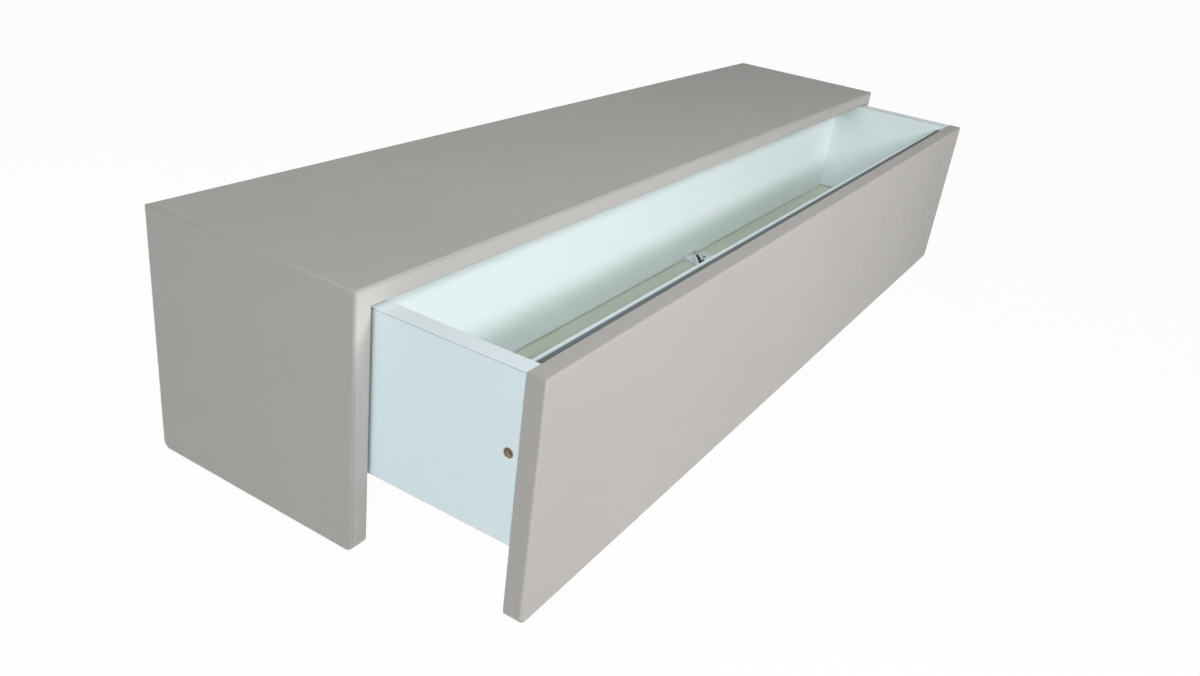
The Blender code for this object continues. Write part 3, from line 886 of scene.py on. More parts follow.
def rod_generator() -> Generator:
    """Build the tree that sets round rods at even distances along a path, all in one direction.

    Returns:
        The tree. Its guide is the path.
    """
    made = Generator("rods along a path", ("Spacing", "Radius", "Length"), ("Direction",))
    curve = made.node("GeometryNodeMeshToCurve", sockets={"Mesh": made.given["Geometry"]})
    points = made.node("GeometryNodeCurveToPoints", {"mode": "LENGTH"}, {
        "Curve": curve.outputs["Curve"], "Length": made.given["Spacing"]})
    rod = made.node("GeometryNodeMeshCylinder", sockets={
        "Vertices": Steps.PIN, "Radius": made.given["Radius"], "Depth": made.given["Length"]})
    turn = made.node("FunctionNodeAlignRotationToVector", {"axis": "Z"}, {"Vector": made.given["Direction"]})
    rods = made.node("GeometryNodeInstanceOnPoints", sockets={
        "Points": points.outputs["Points"], "Instance": rod.outputs["Mesh"],
        "Rotation": turn.outputs["Rotation"]})
    made.close(rods.outputs["Instances"])
    return made


def screw_generator() -> Generator:
    """Build the tree that sets a cross-recessed screw on each point, along the point's direction.

    The screw is a line along its axis, swept by a circle that takes each point's own radius.

    Returns:
        The tree. Its guide is the points, each with its direction from head to tip.
    """
    made = Generator("cross-recessed screws", (
        "Head radius", "Head rise", "Shank radius", "Length", "Tip length", "Recess length", "Recess width"))
    given = made.given
    shares = {"rise": ("Head rise", -1.0), "crown": ("Head rise", -0.75), "brim": ("Head rise", -0.3),
              "neck": ("Head rise", 0.05), "blade": ("Head rise", 1.1), "small": ("Head radius", 0.68),
              "middle": ("Head radius", 0.9), "point": ("Shank radius", 0.1)}
    part = {}
    for name, (size, share) in shares.items():
        scaled = made.node("ShaderNodeMath", {"operation": "MULTIPLY"}, {0: given[size], 1: share})
        part[name] = scaled.outputs[0]
    taper = made.node("ShaderNodeMath", {"operation": "SUBTRACT"}, {
        0: given["Length"], 1: given["Tip length"]})
    profile = ((part["rise"], part["small"]), (part["crown"], part["middle"]),
               (part["brim"], given["Head radius"]), (0.0, given["Head radius"]),
               (part["neck"], given["Shank radius"]), (taper.outputs[0], given["Shank radius"]),
               (given["Length"], part["point"]))
    line = made.node("GeometryNodeMeshLine", {"mode": "OFFSET"}, {"Count": len(profile)})
    index = made.node("GeometryNodeInputIndex").outputs["Index"]
    picks = []
    for values in zip(*profile):
        pick = made.node("GeometryNodeIndexSwitch", {"data_type": "FLOAT"})
        while len(pick.index_switch_items) < len(values):
            pick.index_switch_items.new()
        fill(made.tree, pick, {"Index": index, **dict(enumerate(values, start=1))})
        picks.append(pick.outputs[0])
    along, radius = picks
    level = made.node("ShaderNodeCombineXYZ", sockets={"Z": along})
    axis = made.node("GeometryNodeSetPosition", sockets={
        "Geometry": line.outputs["Mesh"], "Position": level.outputs["Vector"]})
    curve = made.node("GeometryNodeMeshToCurve", sockets={"Mesh": axis.outputs["Geometry"]})
    sized = made.node("GeometryNodeSetCurveRadius", sockets={
        "Curve": curve.outputs["Curve"], "Radius": radius})
    circle = made.node("GeometryNodeCurvePrimitiveCircle", sockets={"Resolution": Steps.SCREW, "Radius": 1.0})
    swept = made.node("GeometryNodeCurveToMesh", sockets={
        "Curve": sized.outputs["Curve"], "Profile Curve": circle.outputs["Curve"],
        "Scale": radius, "Fill Caps": True})
    screw = made.node("GeometryNodeMeshBoolean", {"operation": "DIFFERENCE", "solver": "EXACT"}, {
        "Mesh 1": swept.outputs["Mesh"]})
    place = made.node("ShaderNodeCombineXYZ", sockets={"Z": part["rise"]})
    long, thin = given["Recess length"], given["Recess width"]
    for width, depth in ((long, thin), (thin, long)):
        size = made.node("ShaderNodeCombineXYZ", sockets={"X": width, "Y": depth, "Z": part["blade"]})
        blade = made.node("GeometryNodeMeshCube", sockets={"Size": size.outputs["Vector"]})
        cutter = made.node("GeometryNodeTransform", sockets={
            "Geometry": blade.outputs["Mesh"], "Translation": place.outputs["Vector"]})
        fill(made.tree, screw, {"Mesh 2": cutter.outputs["Geometry"]})
    way = made.node("GeometryNodeInputNamedAttribute", {"data_type": "FLOAT_VECTOR"}, {"Name": "direction"})
    turn = made.node("FunctionNodeAlignRotationToVector", {"axis": "Z"}, {"Vector": way.outputs["Attribute"]})
    screws = made.node("GeometryNodeInstanceOnPoints", sockets={
        "Points": given["Geometry"], "Instance": screw.outputs["Mesh"], "Rotation": turn.outputs["Rotation"]})
    made.close(screws.outputs["Instances"])
    return made


@dataclass(frozen=True)
class ScrewSize:
    """The real sizes of a screw.

    Attributes:
        head: the head's radius.
        rise: the head's height.
        shank: the shank's radius.
        tip: the tip's length.
        recess: the length of the cross recess.
        blade: the width of the cross recess.
    """

    head: float = 3.4 * MM
    rise: float = 1.4 * MM
    shank: float = 1.75 * MM
    tip: float = 4.0 * MM
    recess: float = 3.4 * MM
    blade: float = 0.8 * MM


class Hardware:
    """Makes what repeats: screws, pins, punched holes and grooves."""

    WOOD_SCREW = ScrewSize()
    BRACKET_SCREW = ScrewSize(2.8 * MM, 1.2 * MM, 1.4 * MM, 2.0 * MM, 2.8 * MM, 0.7 * MM)
    CONNECTOR = ScrewSize(4.7 * MM, 3.0 * MM, 2.5 * MM, 4.0 * MM, 5.0 * MM, 1.3 * MM)

    def __init__(self) -> None:
        """Build the two trees."""
        self.rods = rod_generator()
        self.screws = screw_generator()

    def row(self, name: str, path: Sequence[Sequence[float]], direction: Sequence[float], spacing: float,
            radius: float, length: float, finish: Finish, closed: bool = False) -> bpy.types.Object:
        """Set rods along a path.

        Args:
            name: the object's name.
            path: the path's corners.
            direction: the rods' direction.
            spacing: the distance between rods.
            radius: a rod's radius.
            length: a rod's length, half of it on each side of the path.
            finish: the rods' finish.
            closed: whether the path returns to its start.

        Returns:
            The rods as one object.
        """
        count = len(path)
        edges = [(i, (i + 1) % count) for i in range(count if closed else count - 1)]
        mesh = bpy.data.meshes.new(name)
        mesh.from_pydata([Vector(corner) for corner in path], edges, [])
        return self.rods.run(add_object(name, mesh), finish, {
            "Spacing": spacing, "Radius": radius, "Length": length, "Direction": tuple(direction)})

    def set_screws(self, name: str, body: Body, size: ScrewSize, nodes: dict[str, Vector]) -> None:
        """Set recessed screws in the places of their solids.

        Args:
            name: the piece's name.
            body: the body that they ride on.
            size: the screws' sizes.
            nodes: the solids, all of one length, each with the direction from head to tip.
        """
        seats = []
        length = 0.0
        for node, way in nodes.items():
            span = Span.of(node)
            length = abs(span.size.dot(way)) - size.rise
            seats.append(span.middle - way * (abs(span.size.dot(way)) / 2 - size.rise))
        mesh = bpy.data.meshes.new(name)
        mesh.from_pydata(seats, [], [])
        ways = mesh.attributes.new("direction", "FLOAT_VECTOR", "POINT")
        for number, way in enumerate(nodes.values()):
            ways.data[number].vector = way
        piece = self.screws.run(add_object(name, mesh), SCREW_ZINC, {
            "Head radius": size.head, "Head rise": size.rise, "Shank radius": size.shank, "Length": length,
            "Tip length": size.tip, "Recess length": size.recess, "Recess width": size.blade})
        hand_over(piece, body, list(nodes))


@dataclass
class Case:
    """The fixed case: mitred top and ends, back, rear rails and their fixings.

    Attributes:
        hardware: what makes the pieces that repeat.
        arris: the radius of the outer edges.
        fine_arris: the radius of the inner edges.
        corner: the radius of the end panels' lower corners.
        gap: the room between pieces that touch.
        mitre_gap: the room in the lacquered mitres, which hardly shows.
        pin_inset: the distance of the back's pins from its edge.
        pin_spacing: the distance between pins.
        pin_radius: a pin head's radius.
        pin_length: the length of the pin that shows in its dimple.
        pin_depth: the depth of the pin's middle below the back.
        dimple_radius: the radius of the dimple around a pin.
        dimple_length: twice the dimple's depth.
        window_gap: the room in the back around a hanging plate.
        plate_corner: the radius of a plate's corners.
        plate_arris: the radius of its edges.
        keyhole: the radius of a keyhole's wide end.
        slot: half the width of its narrow end.
        slot_gap: how much narrower the slot's walls stand than its round end, so that the two cross.
        keyhole_drop: how far the wide end lies below level 0, where the plate hangs.
        top: the top board's box.
        back: the back panel's box.
        ends: the end panels' boxes.
    """

    hardware: Hardware
    arris: float = 3 * MM
    fine_arris: float = 1 * MM
    corner: float = 10 * MM
    gap: float = 0.3 * MM
    mitre_gap: float = 0.04 * MM
    pin_inset: float = 5 * MM
    pin_spacing: float = 98 * MM
    pin_radius: float = 1.2 * MM
    pin_length: float = 0.5 * MM
    pin_depth: float = 0.33 * MM
    dimple_radius: float = 1.6 * MM
    dimple_length: float = 0.9 * MM
    window_gap: float = 2 * MM
    plate_corner: float = 4 * MM
    plate_arris: float = 0.3 * MM
    keyhole: float = 5.5 * MM
    slot: float = 2.5 * MM
    slot_gap: float = 10 * MERGE
    keyhole_drop: float = 12 * MM
    top: Span = field(default_factory=lambda: Span.of("top_board"))
    back: Span = field(default_factory=lambda: Span.of("back_panel"))
    ends: dict[Side, Span] = field(default_factory=lambda: {
        side: Span.of(f"{side.word}_end_panel") for side in Side})

    BOARD = (LACQUER, PAINTED_LIGHT_EDGE_LACQUER, CHIPBOARD)
    SHEET = (MELAMINE, MELAMINE, CHIPBOARD)

    @property
    def half(self) -> float:
        """Return half the case's width."""
        return self.ends[Side.RIGHT].high.x

    @property
    def inner_half(self) -> float:
        """Return the distance from the middle to an end panel's inner face."""
        return self.ends[Side.RIGHT].low.x

    def build(self) -> None:
        """Make every piece of the case."""
        self.build_top()
        for side in Side:
            self.build_end(side)
            self.build_plate(side)
        self.build_back()
        self.build_screws()
        dress_solids(("top_hanging_rail", "bottom_rear_rail"), MELAMINE)
        dress_solids((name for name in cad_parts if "dowel" in name or "spline" in name), BEECH)

    def mitre_of(self, side: Side, shift: float) -> tuple[Vector, Vector]:
        """Work out a mitre's plane.

        Args:
            side: the end of the sideboard.
            shift: how far the plane stands off into the top board.

        Returns:
            A point on the plane, and its normal, which points into the top board.
        """
        normal = Vector((-side, 0, 1)).normalized()
        return Vector((side * self.half, 0, self.top.high.z)) + normal * shift, normal

    def rebate(self) -> bpy.types.Object:
        """Make the cutter of the back panel's rebate.

        Returns:
            The cutter.
        """
        low, high = self.back.low, self.back.high
        solid = Solid().box((low.x - self.gap, low.y - self.gap, low.z - self.gap),
                            (high.x + self.gap, OVERCUT, high.z + self.gap))
        return solid.paint(Layer.CORE).piece("back_rebate", self.BOARD)

    def build_top(self) -> None:
        """Make the top board."""
        low, high = self.top.low, self.top.high
        solid = Solid().box((-self.half, low.y, low.z), (self.half, high.y, high.z))
        # The front edges take the paler lacquer: painted light.
        solid.paint(Layer.EDGE, looking(Axis.Y, -1))
        solid.ease_plane(Axis.Z, high.z, self.arris, Steps.ARRIS)
        front, under = on_plane(Axis.Y, low.y), on_plane(Axis.Z, low.z)
        solid.ease(self.fine_arris, Steps.FINE, lambda a, b: front(a, b) and under(a, b))
        for side in Side:
            solid.mitre(*self.mitre_of(side, self.mitre_gap / 2), keep_beyond=True)
        piece = solid.piece("case_top", self.BOARD)
        carve(piece, [self.rebate()])
        hand_over(piece, Body.CASE, ["top_board"])

    def build_end(self, side: Side) -> None:
        """Make an end panel, round at its lower corners.

        Args:
            side: the end of the sideboard.
        """
        span = self.ends[side]
        base = on_plane(Axis.Z, span.low.z)
        solid = Solid().box(span.low, (span.high.x, span.high.y, self.top.high.z))
        solid.ease(self.corner, Steps.CORNER, lambda a, b: base(a, b) and abs(a.co.y - b.co.y) < MERGE)
        # The front edges take the paler lacquer: painted light.
        solid.paint(Layer.EDGE, looking(Axis.Y, -1))
        solid.ease_plane(Axis.X, side * self.half, self.arris, Steps.ARRIS)
        solid.ease_plane(Axis.X, side * self.inner_half, self.fine_arris, Steps.FINE)
        solid.mitre(*self.mitre_of(side, -self.mitre_gap / 2), keep_beyond=False)
        piece = solid.piece(f"case_{side.word}_end", self.BOARD)
        carve(piece, [self.rebate()])
        hand_over(piece, Body.CASE, [f"{side.word}_end_panel"])

    def build_back(self) -> None:
        """Make the back panel with its windows for the plates, and the pins that hold it."""
        low, high = self.back.low, self.back.high
        piece = Solid().box(low, high).paint(Layer.CORE, rim(Axis.Y)).piece("case_back", self.SHEET)
        margin = Vector((self.window_gap, OVERCUT, self.window_gap))
        plates = [Span.of(f"{side.word}_hanging_plate") for side in Side]
        windows = [Solid().box(plate.low - margin, plate.high + margin).paint(Layer.CORE).piece(
            f"window_{number}", self.SHEET) for number, plate in enumerate(plates)]
        left, right = low.x + self.pin_inset, high.x - self.pin_inset
        base, crown = low.z + self.pin_inset, high.z - self.pin_inset
        path = [(left, high.y, base), (right, high.y, base), (right, high.y, crown), (left, high.y, crown)]
        out = (0, 1, 0)
        dimples = self.hardware.row("dimples", path, out, self.pin_spacing, self.dimple_radius,
                                    self.dimple_length, MELAMINE, closed=True)
        carve(piece, [*windows, dimples])
        hand_over(piece, Body.CASE, ["back_panel"])
        sunk = [(x, y - self.pin_depth, z) for x, y, z in path]
        pins = self.hardware.row("back_pins", sunk, out, self.pin_spacing, self.pin_radius,
                                 self.pin_length, SCREW_ZINC, closed=True)
        hand_over(pins, Body.CASE)

    def build_plate(self, side: Side) -> None:
        """Make a hanging plate with its keyhole.

        Args:
            side: the end of the sideboard.
        """
        span = Span.of(f"{side.word}_hanging_plate")
        finishes = (ZINC, ZINC)
        solid = Solid().box(span.low, span.high).ease_along(Axis.Y, self.plate_corner, Steps.ARRIS)
        piece = solid.ease_all(self.plate_arris, Steps.HAIRLINE).piece(f"{side.word}_plate", finishes)
        back = Vector((span.middle.x, span.low.y - OVERCUT, 0))
        out = Vector((0, 1, 0))
        depth = span.size.y + 2 * OVERCUT
        drop = Vector((0, 0, -self.keyhole_drop))
        crown = Vector((0, 0, -self.slot))
        half = self.slot - self.slot_gap
        slot = Solid().box(back + drop - Vector((half, 0, 0)), back + crown + Vector((half, depth, 0)))
        rods = [Solid().rod(back + drop, out, depth, self.keyhole, Steps.WIDE_HOLE),
                Solid().rod(back + crown, out, depth, self.slot)]
        guides = [guide.piece(f"keyhole_{number}", finishes) for number, guide in enumerate([slot, *rods])]
        carve(piece, guides)
        hand_over(piece, Body.CASE, [f"{side.word}_hanging_plate"])

    def build_screws(self) -> None:
        """Set the screws of the hanging plates and of the cabinet rails."""
        nodes = {f"{side.word}_hanging_screw_{place}": Vector((0, -1, 0))
                 for side in Side for place in ("outer", "inner")}
        nodes |= {f"{side.word}_rail_screw_{place}": Vector((side, 0, 0))
                  for side in Side for place in ("front", "rear")}
        self.hardware.set_screws("case_screws", Body.CASE, Hardware.WOOD_SCREW, nodes)


@dataclass
class Runners:
    """The concealed runners: on each side a cabinet rail, an intermediate rail and a drawer rail.

    Attributes:
        hardware: what makes the pieces that repeat.
        steel: the sheet's thickness.
        clear: the room between nested members.
        bar: the width of the cabinet rail's upright bar.
        bend: the radius of the bends.
        screw_margin: the distance of a rail's screws from its ends.
        screw_pitch: the distance between the flange's holes, twice that of the web's.
        flange_hole: the radius of the flange's holes.
        web_hole: the radius of the web's holes.
        punch: the length of the punch that makes them.
    """

    hardware: Hardware
    steel: float = 1.2 * MM
    clear: float = 0.4 * MM
    bar: float = 5 * MM
    bend: float = 0.45 * MM
    screw_margin: float = 40 * MM
    screw_pitch: float = 32 * MM
    flange_hole: float = 2.05 * MM
    web_hole: float = 2.6 * MM
    punch: float = 8 * MM

    SHEET = (ZINC, ZINC, ZINC)

    def build(self) -> None:
        """Make every member."""
        for side in Side:
            self.build_channel(side, Member.INTERMEDIATE, Body[f"{side.name}_RUNNER"])
            self.build_channel(side, Member.DRAWER, Body.DRAWER)
            self.build_cabinet_rail(side)

    def build_channel(self, side: Side, member: Member, body: Body) -> None:
        """Make a member that is an inverted channel.

        Args:
            side: the end of the sideboard.
            member: which of the runner's channels it is.
            body: the body that it rides on.
        """
        node = f"{side.word}_{member.value}"
        span = Span.of(node)
        low, high, web = span.low, span.high, span.high.z - self.steel
        outline = [(low.x, low.z), (low.x, high.z), (high.x, high.z), (high.x, low.z),
                   (high.x - self.steel, low.z), (high.x - self.steel, web),
                   (low.x + self.steel, web), (low.x + self.steel, low.z)]
        solid = Solid().prism(outline, Axis.Y, low.y, high.y).ease_along(Axis.Y, self.bend, Steps.FINE)
        hand_over(solid.piece(f"{node}_channel", self.SHEET), body, [node])

    def build_cabinet_rail(self, side: Side) -> None:
        """Make the fixed rail: punched flange, web and upright bar.

        Args:
            side: the end of the sideboard.
        """
        node = f"{side.word}_cabinet_rail"
        span = Span.of(node)
        foot = span.low.z
        wall, tip = (span.high.x, span.low.x) if side > 0 else (span.low.x, span.high.x)
        flange = wall - side * self.steel
        inner = tip + side * self.bar
        crest = Span.of(f"{side.word}_intermediate_rail").high.z - self.steel - self.clear
        web = foot + self.steel
        outline = [(wall, foot), (wall, span.high.z), (flange, span.high.z), (flange, web), (inner, web),
                   (inner, crest), (tip, crest), (tip, foot)]
        solid = Solid().prism(outline, Axis.Y, span.low.y, span.high.y)
        piece = solid.ease_along(Axis.Y, self.bend, Steps.FINE).piece(f"{node}_profile", self.SHEET)
        first = self.screw_margin % self.screw_pitch
        level = (span.high.z + web) / 2
        ends = (span.low.y + first, span.high.y)
        holes = self.hardware.row("flange_holes", [(flange, y, level) for y in ends], (1, 0, 0),
                                  self.screw_pitch, self.flange_hole, self.punch, ZINC)
        middle = (flange + inner) / 2
        punched = self.hardware.row("web_holes", [(middle, y, foot) for y in ends], (0, 0, 1),
                                    self.screw_pitch / 2, self.web_hole, self.punch, ZINC)
        carve(piece, [holes, punched])
        hand_over(piece, Body.CASE, [node])


@dataclass
class Drawer:
    """The drawer: lacquered front, melamine box, clips and fixings; its bracket has a class of its own.

    Attributes:
        hardware: what makes the pieces that repeat.
        arris: the radius of the front's outer edges.
        fine_arris: the radius of banded edges.
        corner: the radius of the front's lower corners.
        sink_radius: the radius of the stepped hole's mouth in a side.
        sink: the depth of that mouth.
        gap: the room between pieces that touch.
        floor_gap: the room over the floor in its rebate, which shows as a dark line.
        band: the thickness of the edge band.
        joint: the width and depth of the fine joint beside the band.
        tape: the depth to which the painted shadow, a dull slate strip, is sunk in the inner front's top,
            against the front.
        lip: the strip of the inner front's top that stays bare behind the painted shadow.
        lip_arris: the radius of that strip's outer edge.
        lever: the length of a clip's lever.
        notch: the height of the step under it.
        groove: the radius of the lever's grooves.
        groove_pitch: the distance between them.
        groove_depth: how far their middle lies below the lever's underside.
        groove_margin: how far they end before the lever's two sides.
        front: the drawer front's box.
        inner_front: the inner front's box.
        back: the drawer back's box.
        floor: the floor's box.
        walls: the sides' boxes.
    """

    hardware: Hardware
    arris: float = 3 * MM
    fine_arris: float = 0.6 * MM
    corner: float = 10 * MM
    sink_radius: float = 5.5 * MM
    sink: float = 9 * MM
    gap: float = 0.3 * MM
    floor_gap: float = 1.4 * MM
    band: float = 0.9 * MM
    joint: float = 0.4 * MM
    tape: float = 0.3 * MM
    lip: float = 6.3 * MM
    lip_arris: float = 2 * MM
    lever: float = 12 * MM
    notch: float = 4 * MM
    groove: float = 0.9 * MM
    groove_pitch: float = 2 * MM
    groove_depth: float = 0.5 * MM
    groove_margin: float = 3 * MM
    front: Span = field(default_factory=lambda: Span.of("drawer_front"))
    inner_front: Span = field(default_factory=lambda: Span.of("drawer_inner_front"))
    back: Span = field(default_factory=lambda: Span.of("drawer_back"))
    floor: Span = field(default_factory=lambda: Span.of("drawer_floor"))
    walls: dict[Side, Span] = field(default_factory=lambda: {
        side: Span.of(f"drawer_{side.word}_side") for side in Side})

    BOARD = (MELAMINE, EDGE_BAND, CHIPBOARD, GLUE, PAINTED_LIGHT_MELAMINE, TAPE)
    FRONT = (LACQUER, LACQUER, CHIPBOARD)

    def build(self) -> None:
        """Make every piece of the drawer."""
        self.build_front()
        for side in Side:
            self.build_side(side)
            self.build_clip(side)
        self.build_wall("drawer_inner_board", self.inner_front, "drawer_inner_front")
        self.build_wall("drawer_rear_board", self.back, "drawer_back")
        self.build_floor()
        self.build_screws()

    def build_front(self) -> None:
        """Make the visible front, eased all round."""
        span = self.front
        base = on_plane(Axis.Z, span.low.z)
        solid = Solid().box(span.low, span.high)
        solid.ease(self.corner, Steps.CORNER, lambda a, b: base(a, b) and abs(a.co.x - b.co.x) < MERGE)
        solid.ease_plane(Axis.Y, span.low.y, self.arris, Steps.ARRIS)
        solid.ease_plane(Axis.Y, span.high.y, self.fine_arris, Steps.FINE)
        hand_over(solid.piece("drawer_face", self.FRONT), Body.DRAWER, ["drawer_front"])

    def rebate(self) -> bpy.types.Object:
        """Make the cutter of the floor's rebate.

        Returns:
            The cutter.
        """
        low, high = self.floor.low, self.floor.high
        solid = Solid().box((low.x - self.gap, low.y - self.gap, low.z - OVERCUT),
                            (high.x + self.gap, high.y + self.gap, high.z + self.floor_gap))
        return solid.paint(Layer.CORE).piece("floor_rebate", self.BOARD)

    def joints(self, span: Span, axis: Axis) -> list[bpy.types.Object]:
        """Make the cutters of the fine joints between a board's upper band and its two faces.

        Args:
            span: the board's box.
            axis: the axis that its faces look along.

        Returns:
            The cutters.
        """
        guides = []
        level = span.high.z - self.band
        for number, face in enumerate((span.low[axis], span.high[axis])):
            low, high = span.low - Vector([OVERCUT] * 3), span.high + Vector([OVERCUT] * 3)
            low[axis], high[axis] = face - self.joint, face + self.joint
            low.z, high.z = level - self.joint, level
            solid = Solid().box(low, high).paint(Layer.GLUE)
            guides.append(solid.piece(f"joint_{number}", self.BOARD))
        return guides

    def build_side(self, side: Side) -> None:
        """Make a side with its banded edges and its stepped hole.

        Args:
            side: the end of the sideboard.
        """
        span = self.walls[side]
        solid = Solid().box(span.low, span.high)
        solid.ease_all(self.fine_arris, Steps.FINE)
        solid.paint(Layer.EDGE, rim(Axis.X))
        # The inner face takes the whiter melamine: painted light for the bright inside of the drawer.
        solid.paint(Layer.INNER, looking(Axis.X, -side))
        piece = solid.piece(f"drawer_{side.word}_wall", self.BOARD)
        connector = Span.of(f"{side.word}_side_connector").middle
        mouth = Vector((span.high.x if side > 0 else span.low.x, connector.y, connector.z))
        inward = Vector((-side, 0, 0))
        sink = Solid().rod(mouth - inward * OVERCUT, inward, self.sink + OVERCUT, self.sink_radius,
                           Steps.WIDE_HOLE)
        sink_guide = sink.paint(Layer.CORE).piece("sink", self.BOARD)
        carve(piece, [self.rebate(), sink_guide, *self.joints(span, Axis.X)])
        hand_over(piece, Body.DRAWER, [f"drawer_{side.word}_side"])

    def build_wall(self, name: str, span: Span, node: str) -> None:
        """Make the inner front or the back, with the floor's rebate.

        Args:
            name: the piece's name.
            span: the board's box.
            node: the solid that it stands for.
        """
        is_front = span is self.inner_front
        solid = Solid().box(span.low, span.high)
        if is_front:
            top, behind = on_plane(Axis.Z, span.high.z), on_plane(Axis.Y, span.high.y)
            solid.ease(self.lip_arris, Steps.LIP, lambda a, b: top(a, b) and behind(a, b))
        solid.ease_all(self.fine_arris, Steps.FINE)
        solid.paint(Layer.EDGE, rim(Axis.Y))
        # The inner face takes the whiter melamine: painted light for the bright inside of the drawer.
        solid.paint(Layer.INNER, looking(Axis.Y, 1 if is_front else -1))
        piece = solid.piece(name, self.BOARD)
        guides = [self.rebate(), *self.joints(span, Axis.Y)]
        # The strip sunk in the inner front's top against the front is painted shadow: slate where the front's
        # top edge casts its shadow.
        if is_front:
            low = Vector((self.walls[Side.LEFT].high.x, span.low.y - OVERCUT, span.high.z - self.tape))
            high = Vector((self.walls[Side.RIGHT].low.x, span.high.y - self.lip, span.high.z + OVERCUT))
            guides.append(Solid().box(low, high).paint(Layer.TAPE).piece("tape", self.BOARD))
        carve(piece, guides)
        hand_over(piece, Body.DRAWER, [node])

    def build_floor(self) -> None:
        """Make the thin floor."""
        solid = Solid().box(self.floor.low, self.floor.high).paint(Layer.CORE, rim(Axis.Z))
        finishes = (HARDBOARD, HARDBOARD, CHIPBOARD)
        hand_over(solid.piece("drawer_base", finishes), Body.DRAWER, ["drawer_floor"])

    def build_clip(self, side: Side) -> None:
        """Make a front clip, with grooves for the finger under its lever.

        Args:
            side: the end of the sideboard.
        """
        node = f"{side.word}_front_clip"
        span = Span.of(node)
        low, high = span.low, span.high
        lever = low.y + self.lever
        outline = [(low.y, low.z + self.notch), (lever, low.z + self.notch), (lever + self.notch, low.z),
                   (high.y, low.z), (high.y, high.z), (low.y, high.z)]
        solid = Solid().prism(outline, Axis.X, low.x, high.x).ease_all(self.fine_arris, Steps.FINE)
        piece = solid.piece(f"{side.word}_clip", (NYLON, NYLON))
        level = low.z + self.notch - self.groove_depth
        path = [(span.middle.x, y, level) for y in (low.y + self.groove_pitch, lever - self.groove_pitch)]
        grooves = self.hardware.row("grooves", path, (1, 0, 0), self.groove_pitch, self.groove,
                                    span.size.x - 2 * self.groove_margin, NYLON)
        carve(piece, [grooves])
        hand_over(piece, Body.DRAWER, [node])

    def build_screws(self) -> None:
        """Set the screws of the front and of the sides."""
        forward = Vector((0, -1, 0))
        self.hardware.set_screws("front_screws", Body.DRAWER, Hardware.WOOD_SCREW, {
            name: forward for name in sorted(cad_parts) if name.startswith("front_screw_")})
        self.hardware.set_screws("side_connectors", Body.DRAWER, Hardware.CONNECTOR, {
            f"{side.word}_side_connector": Vector((-side, 0, 0)) for side in Side})


